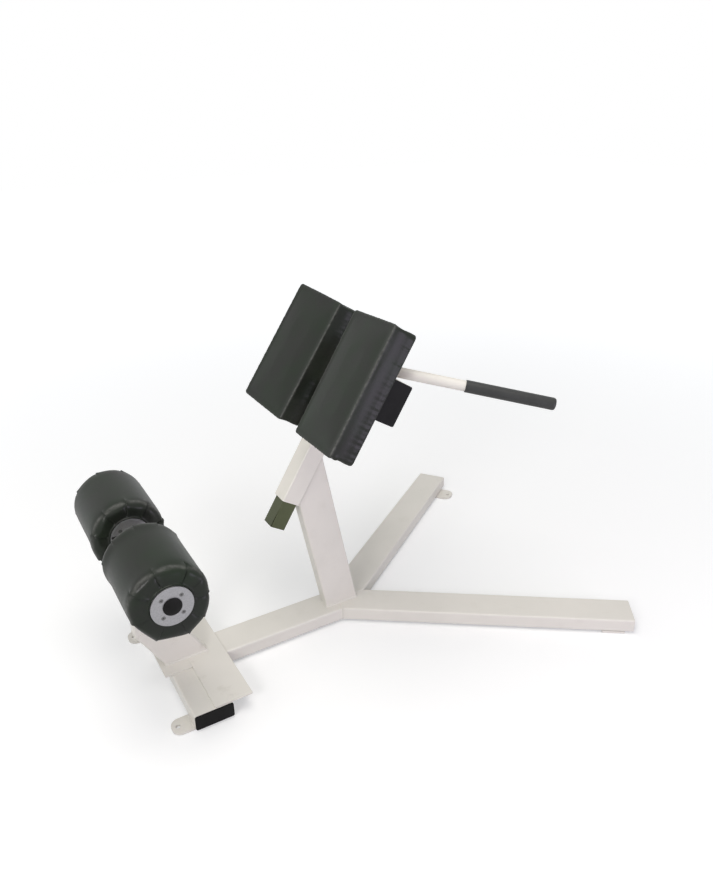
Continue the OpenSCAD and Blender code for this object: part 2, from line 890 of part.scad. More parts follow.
// The frame of the left pad: origin in the middle of its board's back, +X out of the back,
// +Z towards its head
module pad_frame()
{
    translate([-beam_d / 2 - pad_off, pad_yc, pad_zc])
        rotate([0, 0, pad_toe]) rotate([pad_twist, 0, 0]) rotate([0, pad_pitch, 0]) children();
}

// The four bolt places on each pad, at distance x behind its board, pointing forwards
module pad_bolt_places(x)
{
    mast() both_sides() pad_frame() for (sy = [-1, 1], sz = [-1, 1])
        translate([x, pad_plate_out + sy * pad_bolt_dy / 2, plate_up + sz * pad_bolt_dz / 2])
            rotate([0, -90, 0]) children();
}

// Two ribs behind each pad plate, tapered because the plate is turned from the beam's face
module pad_ribs()
{
    depth = 3 * pad_off;
    color("gainsboro") mast() both_sides() difference()
    {
        for (sz = [-1, 1])
            translate([-beam_d / 2 - depth, pad_yc + pad_plate_out - rib_l / 2,
                       beam_z + sz * rib_spacing / 2 - rib_t / 2])
                cube([depth, rib_l, rib_t]);
        pad_frame() translate([pad_plate_t - far_off, -pad_w, -pad_l])
            cube([far_off, 2 * pad_w, 2 * pad_l]);
    }
}

module pad_plates()
{
    color("gainsboro") difference()
    {
        mast() both_sides() pad_frame() translate([0, pad_plate_out, plate_up])
            along_x() linear_extrude(pad_plate_t) rounded(pad_plate_w, pad_plate_l, plate_r);
        pad_bolt_places(pad_plate_t + cut_extra)
            cylinder(pad_plate_t + 2 * cut_extra, r = pad_bolt_r + 0.5);
    }
}

module pad_bolts()
{
    shank = bolt_washer_t + pad_plate_t + tee_l + 1;
    color("gray") pad_bolt_places(pad_plate_t + bolt_washer_t)
    {
        translate([0, 0, -bolt_head_h]) cylinder(bolt_head_h, r = bolt_head_r, $fn = 6);
        cylinder(shank, r = pad_bolt_r);
    }
}

module pad_washers()
{
    color("silver") pad_bolt_places(pad_plate_t + bolt_washer_t) difference()
    {
        cylinder(bolt_washer_t, r = bolt_washer_r);
        translate([0, 0, -cut_extra])
            cylinder(bolt_washer_t + 2 * cut_extra, r = pad_bolt_r + run_gap);
    }
}

// Tee nuts are pushed into the front of the boards, their flanges flush under the cushions
module tee_nuts()
{
    color("silver") pad_bolt_places(-board_t) mirror([0, 0, 1]) difference()
    {
        union()
        {
            cylinder(tee_flange_t, r = tee_flange_r);
            cylinder(tee_l, r = tee_r);
        }
        translate([0, 0, -cut_extra])
            cylinder(tee_l + 2 * cut_extra, r = pad_bolt_r + run_gap);
    }
}

module pad_board(side)
{
    color("burlywood") difference()
    {
        mast() on_side(side) pad_frame() translate([-board_t, 0, 0])
            along_x() linear_extrude(board_t)
                rounded(pad_w - 2 * board_inset, pad_l - 2 * board_inset, pad_r - board_inset);
        pad_bolt_places(-board_t - cut_extra) mirror([0, 0, 1])
        {
            cylinder(tee_flange_t + cut_extra, r = tee_flange_r + fit_gap);
            cylinder(tee_l + fit_gap + cut_extra, r = tee_r + fit_gap);
            cylinder(board_t + 2 * cut_extra, r = pad_bolt_r + 0.5);
        }
    }
}

module right_pad_board() { pad_board(right); }
module left_pad_board() { pad_board(left); }

// The rim of a cushion, anticlockwise: [x, y, outward normal x, y, share of the drawn-in side]
rim_arc_n = 5;
rim_side_n = 6;
function rim_corner(q, w, l, r) =
    [(q == 0 || q == 3 ? 1 : -1) * (w / 2 - r), (q < 2 ? 1 : -1) * (l / 2 - r)];
function rim(w, l, r) = [for (q = [0:3])
    let (c = rim_corner(q, w, l, r), d = rim_corner((q + 1) % 4, w, l, r))
    let (nx = cos(90 * q + 90), ny = sin(90 * q + 90))
    each concat(
        [for (i = [0:rim_arc_n]) let (a = 90 * q + 90 * i / rim_arc_n)
             [c[0] + r * cos(a), c[1] + r * sin(a), cos(a), sin(a), 0]],
        [for (j = [1:rim_side_n - 1]) let (t = j / rim_side_n)
             [lerp(c[0], d[0], t) + r * nx, lerp(c[1], d[1], t) + r * ny,
              nx, ny, 4 * t * (1 - t)]])];

// Rings from the board to the crown: [inset of the rim, scale about the centre, height,
// share of the drawn-in side]
edge_r = min(cushion_edge_r, pad_r - draw_in - cushion_corner_min);
cushion_rings = concat(
    [[0, 1, 0, 0], [0.1 * draw_in, 1, cushion_t * 0.25, 0.5],
     [0.5 * draw_in, 1, cushion_t * 0.5, 0.7], [draw_in, 1, cushion_t - edge_r, 0.4]],
    [for (a = [30, 60, 90]) [draw_in + edge_r * (1 - cos(a)), 1,
                             cushion_t - edge_r + edge_r * sin(a), 0.4 * cos(a)]],
    [for (s = [0.8, 0.55, 0.28]) [draw_in + edge_r, s, cushion_t + crown * (1 - s * s), 0]]);

module cushion(side)
{
    outline = rim(pad_w, pad_l, pad_r);
    n = len(outline);
    count = len(cushion_rings);
    points = concat(
        [for (ring = cushion_rings, p = outline)
            let (e = ring[0] + ring[3] * p[4] * draw_in)
            [(p[0] - e * p[2]) * ring[1], (p[1] - e * p[3]) * ring[1], ring[2]]],
        [[0, 0, cushion_t + crown], [0, 0, 0]]);
    sides = [for (i = [0:count - 2], k = [0:n - 1])
                 let (a = i * n, b = (i + 1) * n, m = (k + 1) % n)
                 each [[a + k, b + k, b + m], [a + k, b + m, a + m]]];
    top = [for (k = [0:n - 1]) [(count - 1) * n + k, count * n, (count - 1) * n + (k + 1) % n]];
    base = [for (k = [0:n - 1]) [(k + 1) % n, count * n + 1, k]];
    color("darkslategray")
        mast() on_side(side) pad_frame() translate([-board_t, 0, 0]) rotate([90, 0, -90])
            polyhedron(points, concat(sides, top, base));
}

module right_pad_cushion() { cushion(right); }
module left_pad_cushion() { cushion(left); }

// A handle: its root lies along the top of the cross beam, then it bends out and back.
// Inside handle_plane the bend is in the XY plane and starts at the origin, along +Y.
bend_tangent = bend_r * tan(handle_bend / 2);
module handle_plane(side)
{
    mast() on_side(side)
        translate([handle_back, handle_y - bend_tangent, beam_z + beam_h / 2 + bar_r])
            rotate([0, -handle_rise, 0]) children();
}

module past_bend(s)
{
    translate([bend_r, 0, 0]) rotate([0, 0, -handle_bend]) translate([-bend_r, s, 0]) children();
}

module bar_section() { difference() { circle(bar_r); circle(bar_r - bar_t); } }

module handle_bar(side)
{
    root = handle_y - bend_tangent - handle_root_y;
    color("gainsboro") handle_plane(side)
    {
        translate([0, -root, 0]) outwards(1) linear_extrude(root) bar_section();
        translate([bend_r, 0, 0])
            rotate_extrude(angle = -handle_bend, start = 180)
                translate([bend_r, 0]) bar_section();
        past_bend(0) outwards(1)
            linear_extrude(handle_l - bend_tangent - 2 * grip_t) bar_section();
        // A ring within the wall ties the bend to the straight
        past_bend(-bar_t) outwards(1) linear_extrude(2 * bar_t) difference()
        {
            circle(bar_r - bar_t / 4);
            circle(bar_r - 3 * bar_t / 4);
        }
    }
}

module right_handle_bar() { handle_bar(right); }
module left_handle_bar() { handle_bar(left); }

// A grip is a tube with a closed, rounded end
module grip(side)
{
    r = bar_r + grip_t;
    nose = 7;
    color("black")
        handle_plane(side) past_bend(handle_l - bend_tangent - grip_l) outwards(1) difference()
        {
            union()
            {
                cylinder(grip_l - nose, r = r);
                rotate_extrude()
                {
                    translate([0, grip_l - nose - cut_extra])
                        square([r - nose, nose + cut_extra]);
                    intersection()
                    {
                        translate([r - nose, grip_l - nose]) circle(nose);
                        translate([r - nose, grip_l - nose]) square(nose);
                    }
                }
            }
            translate([0, 0, -cut_extra])
                cylinder(grip_l - 2 * grip_t + cut_extra + fit_gap, r = bar_r + run_gap);
        }
}

module right_grip() { grip(right); }
module left_grip() { grip(left); }

foot_beam();
foot_beam_caps();
spine();
right_leg();
left_leg();
leg_end_plugs();
foot_anchor_plates();
leg_anchor_plates();
foot_plate();
arm_base_plate();
roller_arm_lower();
roller_arm_upper();
arm_top_cap();
axle_boss();
axle();
axle_set_screws();
axle_spacers();
axle_washers();
axle_bolts();
right_roller_core();
right_roller_cover();
right_roller_flanges();
right_flange_screws();
right_roller_bushes();
right_hub_cap();
left_roller_core();
left_roller_cover();
left_roller_flanges();
left_flange_screws();
left_roller_bushes();
left_hub_cap();
upright();
sleeve();
sleeve_liners();
pin_barrel();
locking_pin();
pin_knob();
inner_tube();
inner_tube_plug();
cross_beam();
cross_beam_caps();
pad_ribs();
pad_plates();
pad_bolts();
pad_washers();
tee_nuts();
right_pad_board();
left_pad_board();
right_pad_cushion();
left_pad_cushion();
right_handle_bar();
left_handle_bar();
right_grip();
left_grip();
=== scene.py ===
# %% [markdown]
# # Hyperextension bench: the looks
#
# A gym bench for back extensions. A welded steel frame, powder coated in warm white, carries two
# ankle rollers and a pair of thigh pads in dark vinyl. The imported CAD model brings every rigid
# piece in its right place. This script dresses it: materials, upholstery, weld beads and light.
# All lengths are metres. The places of the CAD pieces are repeated here as named numbers.

import bpy
import numpy as np
from mathutils import Matrix, Vector


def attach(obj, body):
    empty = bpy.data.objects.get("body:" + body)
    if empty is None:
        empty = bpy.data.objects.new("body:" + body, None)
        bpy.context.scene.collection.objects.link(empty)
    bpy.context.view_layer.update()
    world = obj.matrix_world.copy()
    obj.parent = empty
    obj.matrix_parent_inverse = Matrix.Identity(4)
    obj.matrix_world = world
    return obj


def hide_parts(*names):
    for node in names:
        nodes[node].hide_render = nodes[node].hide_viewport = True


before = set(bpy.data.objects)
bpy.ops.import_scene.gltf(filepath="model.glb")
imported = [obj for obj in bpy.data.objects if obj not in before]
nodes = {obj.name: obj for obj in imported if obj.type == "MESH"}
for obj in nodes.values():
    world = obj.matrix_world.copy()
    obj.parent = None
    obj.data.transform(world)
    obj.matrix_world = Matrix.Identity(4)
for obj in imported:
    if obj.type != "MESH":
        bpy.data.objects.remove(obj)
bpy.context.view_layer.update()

# %% [markdown]
# ## Two frames of reference
#
# The base is easiest to think of from the middle of the foot beam, along the spine. The pads are
# easiest to think of along the sleeve, which leans. So there are two small functions that take
# millimetres in those frames and give metres in the frame of the part.

# %% Places in the base's frame and in the mast's frame
MIDDLE_X = 519.572
MAST_X, MAST_Z, MAST_TILT = 331.792, 428.311, np.radians(31.9)


def base_mm(points):
    """Millimetres from the middle of the foot beam, on the floor, to metres in the part's frame."""
    return (np.asarray(points, float) - [MIDDLE_X, 0, 0]) / 1000


def mast_mm(points):
    """Millimetres from the foot of the sleeve to metres: X out of its back, Z up the sleeve."""
    p = np.asarray(points, float)
    c, s = np.cos(MAST_TILT), np.sin(MAST_TILT)
    turned = np.stack([p[..., 0] * c + p[..., 2] * s, p[..., 1],
                       p[..., 2] * c - p[..., 0] * s], axis=-1)
    return base_mm(turned + [MAST_X, 0, MAST_Z])


print("sleeve foot", mast_mm([0, 0, 0]).round(4), "beam middle", mast_mm([0, 0, 373]).round(4))

# %% [markdown]
# ## The camera first
#
# The camera was worked out from the straight edges in the photograph: the edges of the tubes run
# to vanishing points, which give the turn of the camera, and the corners give its place. A small
# lens shift takes up a principal point that is not in the middle of the picture.

# %% Camera
PICTURE_W, PICTURE_H = 713, 891
CAMERA_AT = (-0.92756, -1.69613, 1.45172)
YAW, PITCH, ROLL = np.radians([31.24, 23.73, -0.47])
FOCAL_PX, CENTRE_X, CENTRE_Y = 769.95, 377.18, 425.52
SENSOR_MM = 36.0


def add_object(name, data):
    """A new object in the scene."""
    made = bpy.data.objects.new(name, data)
    bpy.context.scene.collection.objects.link(made)
    return made


look = np.array([np.sin(YAW) * np.cos(PITCH), np.cos(YAW) * np.cos(PITCH), -np.sin(PITCH)])
level = np.array([np.cos(YAW), -np.sin(YAW), 0])
upright_dir = np.cross(level, look)
cam_right = np.cos(ROLL) * level + np.sin(ROLL) * upright_dir
cam_up = np.cos(ROLL) * upright_dir - np.sin(ROLL) * level

camera = add_object("camera", bpy.data.cameras.new("camera"))
camera.matrix_world = Matrix([[*row] for row in np.block([
    [np.stack([cam_right, cam_up, -look], axis=1), np.array(CAMERA_AT)[:, None]],
    [np.zeros((1, 3)), np.ones((1, 1))]])])
camera.data.sensor_fit = "AUTO"
camera.data.sensor_width = SENSOR_MM
camera.data.lens = FOCAL_PX / PICTURE_H * SENSOR_MM
camera.data.shift_x = -(CENTRE_X - PICTURE_W / 2) / PICTURE_H
camera.data.shift_y = (CENTRE_Y - PICTURE_H / 2) / PICTURE_H
camera.data.clip_start, camera.data.clip_end = 0.05, 50
bpy.context.scene.camera = camera
print("lens", round(camera.data.lens, 2), "mm")

# %% [markdown]
# ## Helpers for surfaces
#
# Every new piece is a grid of points worked out with numpy. A grid has rows and columns, and each
# square between four neighbours is a face. A grid that goes round closes on itself, and a ring at
# an end can be closed with a point in its middle.


# %% A mesh from arrays
def mesh_object(name, points, faces, smooth=True):
    """An object from an array of points and an array of faces with four corners each; a face
    whose last two corners are the same is a triangle."""
    points, faces = np.asarray(points, float), np.asarray(faces, int)
    sizes = np.where(faces[:, 2] == faces[:, 3], 3, 4)
    keep = np.ones(faces.shape, bool)
    keep[:, 3] = sizes == 4
    mesh = bpy.data.meshes.new(name)
    mesh.vertices.add(len(points))
    mesh.vertices.foreach_set("co", points.astype(np.float32).ravel())
    corners = faces[keep]
    mesh.loops.add(len(corners))
    mesh.loops.foreach_set("vertex_index", corners.astype(np.int32))
    mesh.polygons.add(len(faces))
    starts = np.concatenate([[0], np.cumsum(sizes)[:-1]])
    mesh.polygons.foreach_set("loop_start", starts.astype(np.int32))
    mesh.polygons.foreach_set("use_smooth", np.full(len(faces), smooth))
    mesh.update(calc_edges=True)
    mesh.validate()
    return add_object(name, mesh)


def grid_faces(rows, cols, close_rows=False, close_cols=False, flip=False):
    """Faces of a grid of rows by cols points, numbered row by row."""
    i = np.arange(rows if close_rows else rows - 1)[:, None]
    j = np.arange(cols if close_cols else cols - 1)[None, :]
    a, b = i * cols + j, i * cols + (j + 1) % cols
    c, d = ((i + 1) % rows) * cols + (j + 1) % cols, ((i + 1) % rows) * cols + j
    return np.stack([a, d, c, b] if flip else [a, b, c, d], axis=-1).reshape(-1, 4)


def fan_faces(ring, middle, flip=False):
    """Triangles from a closed ring of point numbers to one middle point."""
    after = np.roll(ring, -1)
    centre = np.full(len(ring), middle)
    first, second = (after, ring) if flip else (ring, after)
    return np.stack([first, second, centre, centre], axis=-1)


def smooth_step(t):
    """0 below 0, 1 above 1, and an even curve between."""
    t = np.clip(t, 0, 1)
    return t * t * (3 - 2 * t)


# %% [markdown]
# ## Helpers for materials
#
# A material is a small graph of nodes. These helpers make a Principled shader with fixed values on
# its sockets, and add the pieces that several finishes share: noise, a ramp and a bump.


# %% Material helpers
def new_material(name, base, roughness, metallic=0.0, **fixed):
    """A Principled material; constants go straight on the shader's sockets."""
    mat = bpy.data.materials.new(name)
    mat.use_nodes = True
    shader = mat.node_tree.nodes["Principled BSDF"]
    fixed.update(Base_Color=(*base, 1), Roughness=roughness, Metallic=metallic)
    for socket, value in fixed.items():
        shader.inputs[socket.replace("_", " ")].default_value = value
    return mat, mat.node_tree, shader


def add_node(tree, kind, **values):
    """A node of that kind; values name its inputs or its settings."""
    made = tree.nodes.new(kind)
    for key, value in values.items():
        label = key.replace("_", " ")
        if label in made.inputs:
            made.inputs[label].default_value = value
        else:
            setattr(made, key, value)
    return made


def feed(tree, node, **outputs):
    """Link outputs to the sockets of a node; names have _ for a space."""
    for socket, output in outputs.items():
        tree.links.new(output, node.inputs[socket.replace("_", " ")])


def object_place(tree):
    """Object coordinates, in metres."""
    return add_node(tree, "ShaderNodeTexCoord").outputs["Object"]


def object_noise(tree, scale, detail=2.0, roughness=0.5, stretch=None):
    """Noise on Object coordinates, scale in waves per metre; stretch draws it out into a grain."""
    source = object_place(tree)
    if stretch is not None:
        mapping = add_node(tree, "ShaderNodeMapping", Scale=stretch)
        feed(tree, mapping, Vector=source)
        source = mapping.outputs["Vector"]
    noise = add_node(tree, "ShaderNodeTexNoise", Scale=scale, Detail=detail, Roughness=roughness)
    feed(tree, noise, Vector=source)
    return noise.outputs["Fac"]


def ramp(tree, factor, stops):
    """A colour ramp: stops are (position, colour)."""
    made = add_node(tree, "ShaderNodeValToRGB")
    feed(tree, made, Fac=factor)
    elements = made.color_ramp.elements
    while len(elements) < len(stops):
        elements.new(0.5)
    for element, (position, colour) in zip(elements, stops):
        element.position = position
        element.color = (*colour, 1)
    return made.outputs["Color"]


def combined(tree, operation, first, second):
    """A Math node's result for two outputs."""
    made = add_node(tree, "ShaderNodeMath", operation=operation)
    tree.links.new(first, made.inputs[0])
    tree.links.new(second, made.inputs[1])
    return made.outputs[0]


def spread(tree, factor, low, high, from_low=0.0, from_high=1.0):
    """A number between low and high that follows factor."""
    made = add_node(tree, "ShaderNodeMapRange", From_Min=from_low, From_Max=from_high,
                    To_Min=low, To_Max=high)
    feed(tree, made, Value=factor)
    return made.outputs["Result"]


def blend_colours(tree, factor, first, second):
    """Mix of two colours; each is a colour or an output."""
    made = add_node(tree, "ShaderNodeMix", data_type="RGBA")
    feed(tree, made, Factor=factor)
    for socket, value in ((made.inputs[6], first), (made.inputs[7], second)):
        if isinstance(value, (tuple, list)):
            socket.default_value = (*value, 1)
        else:
            tree.links.new(value, socket)
    return made.outputs[2]


def bump(tree, shader, height, distance, strength, normal=None):
    """Bump of that height in metres, on top of another normal if one is given."""
    made = add_node(tree, "ShaderNodeBump", Distance=distance, Strength=strength)
    feed(tree, made, Height=height)
    if normal is not None:
        feed(tree, made, Normal=normal)
    feed(tree, shader, Normal=made.outputs["Normal"])


def round_edges(tree, radius):
    """A normal that rounds sharp edges by that radius."""
    return add_node(tree, "ShaderNodeBevel", samples=4, Radius=radius).outputs["Normal"]


# %% [markdown]
# ## White powder coat
#
# Powder coat is a thick, baked paint. It is not quite flat: it has a fine orange peel, about two
# millimetres from crest to crest. On a used gym bench it has also yellowed a little here and there
# and holds some grime. So the colour is a slow noise between two close whites, with faint grey
# smudges, and the bump is a fine noise on top of softened edges.

# %% Powder coat
COAT_LIGHT, COAT_DARK = (0.79, 0.765, 0.715), (0.745, 0.725, 0.675)
COAT_GRIME = (0.44, 0.41, 0.34)


def powder_coat(name, grime):
    """Warm white coat; grime from 0 to 1 is how much the smudges show."""
    mat, tree, shader = new_material(name, COAT_LIGHT, 0.42, Coat_Weight=0.25, Coat_Roughness=0.3)
    slow = object_noise(tree, 5.0, 3.0, 0.55)
    colour = ramp(tree, slow, [(0.32, COAT_DARK), (0.68, COAT_LIGHT)])
    smudge = object_noise(tree, 16.0, 6.0, 0.62)
    amount = spread(tree, smudge, 0.0, grime, 0.56, 0.78)
    feed(tree, shader, Base_Color=blend_colours(tree, amount, colour, COAT_GRIME),
         Roughness=spread(tree, smudge, 0.36, 0.52))
    bump(tree, shader, object_noise(tree, 420.0, 1.0), 0.00012, 0.5, round_edges(tree, 0.0015))
    return mat


coat = powder_coat("white_powder_coat", 0.10)
# More grey smudges for the parts under the rollers: grime, and painted shade from the rollers above
coat_grime_and_shade = powder_coat("white_powder_coat_grime_and_shade", 0.45)

# %% [markdown]
# ## Dark vinyl
#
# The upholstery is a dark green-grey vinyl with a fine pressed grain. The grain is a net of small
# cells, made with a Voronoi texture about a millimetre and a half wide, and a faint mottling keeps
# large faces from looking like one flat colour. On the edges of the pads and the ridges of the
# rollers the colour is paler: a painted highlight, which also stands for rubbed vinyl. Each cover
# carries that as an attribute, from 0 to 1.

# %% Vinyl
VINYL_DARK, VINYL_LIGHT = (0.0150, 0.0150, 0.0140), (0.0125, 0.0205, 0.0115)
# Paler colour of the edges and ridges: painted highlight as well as rubbed wear
VINYL_RUBBED_HIGHLIGHT = (0.100, 0.102, 0.096)

vinyl, tree, shader = new_material("dark_vinyl", VINYL_DARK, 0.50, Specular_IOR_Level=0.08,
                                   Coat_Weight=0.27, Coat_Roughness=0.24)
mottle = object_noise(tree, 9.0, 4.0, 0.6)
whole = ramp(tree, mottle, [(0.3, VINYL_DARK), (0.7, VINYL_LIGHT)])
# Attribute from 0 to 1 for the paler colour: a painted highlight on edges and ridges that also stands
# for rubbed vinyl
rubbed_highlight = add_node(tree, "ShaderNodeAttribute", attribute_name="rubbed_highlight").outputs["Fac"]
patches = spread(tree, object_noise(tree, 90.0, 3.0, 0.6), 0.40, 1.0, 0.35, 0.65)
paler = combined(tree, "MULTIPLY", rubbed_highlight, patches)
feed(tree, shader, Base_Color=blend_colours(tree, paler, whole, VINYL_RUBBED_HIGHLIGHT),
     Roughness=spread(tree, mottle, 0.45, 0.55))
cells = add_node(tree, "ShaderNodeTexVoronoi", feature="DISTANCE_TO_EDGE", Scale=650.0)
feed(tree, cells, Vector=object_place(tree))
bump(tree, shader, spread(tree, cells.outputs["Distance"], 0.0, 1.0, 0.0, 0.25), 0.00012, 0.35)

# %% [markdown]
# ## Metals, plastics, rubber and plywood
#
# The roller discs are turned aluminium that has gone dull. The inner tube is chromed. Bolts and
# the axle are zinc plated, and the small screws are dull or blackened. Caps are black moulded
# plastic with a faint stipple, the grips are rubber, and the boards behind the pads are plywood.


# %% Metals
def metal(name, base, rough_low, rough_high, scale, scratch=0.00003):
    """A metal whose roughness, tone and fine scratches follow one noise."""
    mat, tree, shader = new_material(name, base, rough_low, 1.0)
    noise = object_noise(tree, scale, 4.0, 0.6)
    dark = tuple(0.8 * c for c in base)
    feed(tree, shader, Base_Color=ramp(tree, noise, [(0.3, dark), (0.6, base)]),
         Roughness=spread(tree, noise, rough_low, rough_high))
    bump(tree, shader, noise, scratch, 0.4, round_edges(tree, 0.0006))
    return mat


disc_metal = metal("dull_aluminium", (0.33, 0.33, 0.34), 0.42, 0.60, 260.0, 0.00008)
zinc = metal("zinc_plate", (0.52, 0.52, 0.50), 0.25, 0.42, 120.0)
black_steel = metal("blackened_steel", (0.06, 0.06, 0.06), 0.35, 0.5, 200.0)
dull_steel = metal("dull_steel", (0.17, 0.17, 0.17), 0.40, 0.55, 200.0)
# The chrome's dark green-grey colour is a painted reflection of green surroundings
chrome = metal("chrome_plate", (0.090, 0.099, 0.060), 0.10, 0.17, 9.0, 0.000004)


# %% Plastics, rubber, plywood
def moulded(name, base, roughness, stipple, depth=0.00006, shine=0.5):
    """Moulded plastic or rubber: a fine stipple, and a slow change of gloss from handling."""
    mat, tree, shader = new_material(name, base, roughness, Specular_IOR_Level=shine)
    wear = object_noise(tree, 30.0, 4.0)
    light = tuple(1.35 * c + 0.004 for c in base)
    feed(tree, shader, Base_Color=ramp(tree, wear, [(0.35, base), (0.75, light)]),
         Roughness=spread(tree, wear, roughness - 0.06, roughness + 0.10))
    bump(tree, shader, object_noise(tree, stipple, 2.0), depth, 0.5, round_edges(tree, 0.001))
    return mat


black_plastic = moulded("black_plastic", (0.006, 0.006, 0.006), 0.42, 900.0, shine=0.10)
grey_plastic = moulded("grey_plastic", (0.25, 0.25, 0.24), 0.5, 900.0)
nylon = moulded("ivory_nylon", (0.62, 0.58, 0.47), 0.5, 500.0)
core_plastic = moulded("dark_core", (0.05, 0.05, 0.05), 0.55, 500.0)
grip_rubber = moulded("grip_rubber", (0.014, 0.015, 0.015), 0.42, 1400.0, 0.00008)

plywood, tree, shader = new_material("plywood", (0.52, 0.36, 0.20), 0.65)
figure = object_noise(tree, 26.0, 5.0, 0.6, (1.0, 6.0, 0.6))
feed(tree, shader, Base_Color=ramp(tree, figure, [(0.3, (0.36, 0.23, 0.12)), (0.5, (0.52, 0.37, 0.21)),
                                                  (0.75, (0.62, 0.47, 0.29))]))
bump(tree, shader, figure, 0.0003, 0.4)

# %% [markdown]
# ## Finishes for the CAD pieces
#
# The rigid pieces come from the CAD model and keep their shape. Each one gets a finish by name.

# %% Dress the CAD pieces
FINISHES = {
    coat: "foot_beam spine right_leg left_leg foot_anchor_plates leg_anchor_plates "
          "roller_arm_upper upright sleeve cross_beam pad_ribs pad_plates "
          "right_handle_bar left_handle_bar",
    coat_grime_and_shade: "foot_plate arm_base_plate roller_arm_lower",
    black_plastic: "foot_beam_caps arm_top_cap right_hub_cap left_hub_cap pin_knob "
                   "inner_tube_plug cross_beam_caps",
    grey_plastic: "leg_end_plugs sleeve_liners",
    nylon: "right_roller_bushes left_roller_bushes",
    core_plastic: "right_roller_core left_roller_core",
    disc_metal: "right_roller_flanges left_roller_flanges",
    zinc: "axle_boss axle axle_spacers axle_washers pin_barrel locking_pin pad_bolts "
          "pad_washers tee_nuts",
    black_steel: "axle_set_screws axle_bolts",
    dull_steel: "right_flange_screws left_flange_screws",
    chrome: "inner_tube",
    grip_rubber: "right_grip left_grip",
    plywood: "right_pad_board left_pad_board",
}


def dress(obj, material):
    """Put one material on every slot of an object."""
    if not obj.material_slots:
        obj.data.materials.append(material)
    for held in obj.material_slots:
        held.material = material


dressed = set()
for material, names in FINISHES.items():
    for name in names.split():
        dress(nodes[name], material)
        dressed.add(name)
print("CAD pieces dressed:", len(dressed), "left:", sorted(set(nodes) - dressed))

# %% [markdown]
# ## Thigh pads
#
# A pad is a plywood board, foam, and vinyl pulled round both, folded over the board's back edge and
# stapled there. The foam pushes the vinyl out, so the front is crowned and the sides bow between
# edges that stay crisp. It could be a box with a bevel, but that looks like a brick. Here a closed
# form is worked out first, a little small, then cloth with air pressure in it swells it.
#
# Each pad has its own frame, because the two are turned a little, each its own way. The vinyl is
# one closed skin: a pocket that the board sits in, the fold on its back, the sides, the front edge
# and the front, which is a grid of even squares spanned between its four curved borders.

# %% The frame of a pad
PAD_AT = np.array([-40.5, 151.5, 366.0])
PAD_TOE, PAD_TWIST, PAD_NOD = np.radians([4.5, 1.5, 1.2])
SIDES = {"right": -1, "left": 1}


def turned(axis, angle):
    """The matrix of a right-handed turn about axis 0, 1 or 2."""
    a, b = (axis + 1) % 3, (axis + 2) % 3
    matrix = np.eye(3)
    matrix[[a, b], [a, b]] = np.cos(angle)
    matrix[b, a], matrix[a, b] = np.sin(angle), -np.sin(angle)
    return matrix


PAD_TURN = turned(2, PAD_TOE) @ turned(0, PAD_TWIST) @ turned(1, PAD_NOD)


def pad_mm(points, side):
    """Millimetres in a pad's frame to metres: X out of its board's back, Y outwards, Z to its
    head. The right pad is the left one's mirror image."""
    return mast_mm((np.asarray(points, float) @ PAD_TURN.T + PAD_AT) * [1, side, 1])


def pad_local(points, side):
    """Metres back to millimetres in a pad's frame."""
    p = np.asarray(points, float) * 1000 + [MIDDLE_X - MAST_X, 0, -MAST_Z]
    c, s = np.cos(MAST_TILT), np.sin(MAST_TILT)
    mast = np.stack([p[:, 0] * c - p[:, 2] * s, p[:, 1] * side, p[:, 0] * s + p[:, 2] * c], axis=-1)
    return (mast - PAD_AT) @ PAD_TURN


sample = np.array([[-60.0, 90.0, -150.0]])
print("there and back", pad_local(pad_mm(sample, -1), -1).round(6))

# %% The outline of a pad
# Width, length and corner of the pad; thickness, margin and corner of the board
PAD_W, PAD_L, PAD_R = 210.5, 349.5, 9.0
BOARD_T, BOARD_INSET, BOARD_R = 15.0, 2.25, 6.5
# Depth from the board's back, round of the front edge, height of the crown, corner at the back
PAD_DEPTH, PAD_EDGE, PAD_CROWN, BACK_R = 67.5, 3.6, 2.4, 11.5
# The vinyl: its thickness, the width of its fold, its play on the board, and how small it starts
SKIN, FOLD_W, PLAY, SWELL = 0.9, 20.0, 0.3, 2.2
# Squares across and along the front, and rings down the sides
ACROSS, ALONG, DOWN = 46, 78, 15


def pad_outline(inset, radius):
    """Points round a rounded rectangle and their outward normals, anticlockwise from the middle
    of its lower left corner: straight sides and quarter circles, evenly spaced between the middles
    of two corners. It lies inset inside the pad's own outline."""
    w, l = PAD_W / 2 - inset - radius, PAD_L / 2 - inset - radius
    corners = np.array([[-w, -l], [w, -l], [w, l], [-w, l]])
    points, normals = [], []
    half_turn = np.radians(np.arange(0, 46, 9))
    for k, steps in enumerate((ACROSS, ALONG, ACROSS, ALONG)):
        angle = np.radians(225 + 90 * k) + np.concatenate([half_turn, half_turn + np.pi / 4])
        centre = np.repeat(corners[[k, (k + 1) % 4]], len(half_turn), axis=0)
        normal = np.stack([np.cos(angle), np.sin(angle)], axis=1)
        rough = centre + radius * normal
        far = np.concatenate([[0], np.cumsum(np.linalg.norm(np.diff(rough, axis=0), axis=1))])
        at = np.linspace(0, far[-1], steps, endpoint=False)
        points.append(np.stack([np.interp(at, far, rough[:, c]) for c in (0, 1)], axis=1))
        normals.append(np.stack([np.interp(at, far, normal[:, c]) for c in (0, 1)], axis=1))
    return np.vstack(points), np.vstack(normals)


def slow_waves(rng, count, heights, repeats):
    """A smooth uneven line that closes on itself: sines round the pad, each with its own start."""
    turn = 2 * np.pi * np.arange(count) / count
    starts = rng.uniform(0, 2 * np.pi, len(repeats))
    return (np.array(heights)[:, None] * np.sin(np.array(repeats)[:, None] * turn
                                                + starts[:, None])).sum(axis=0)


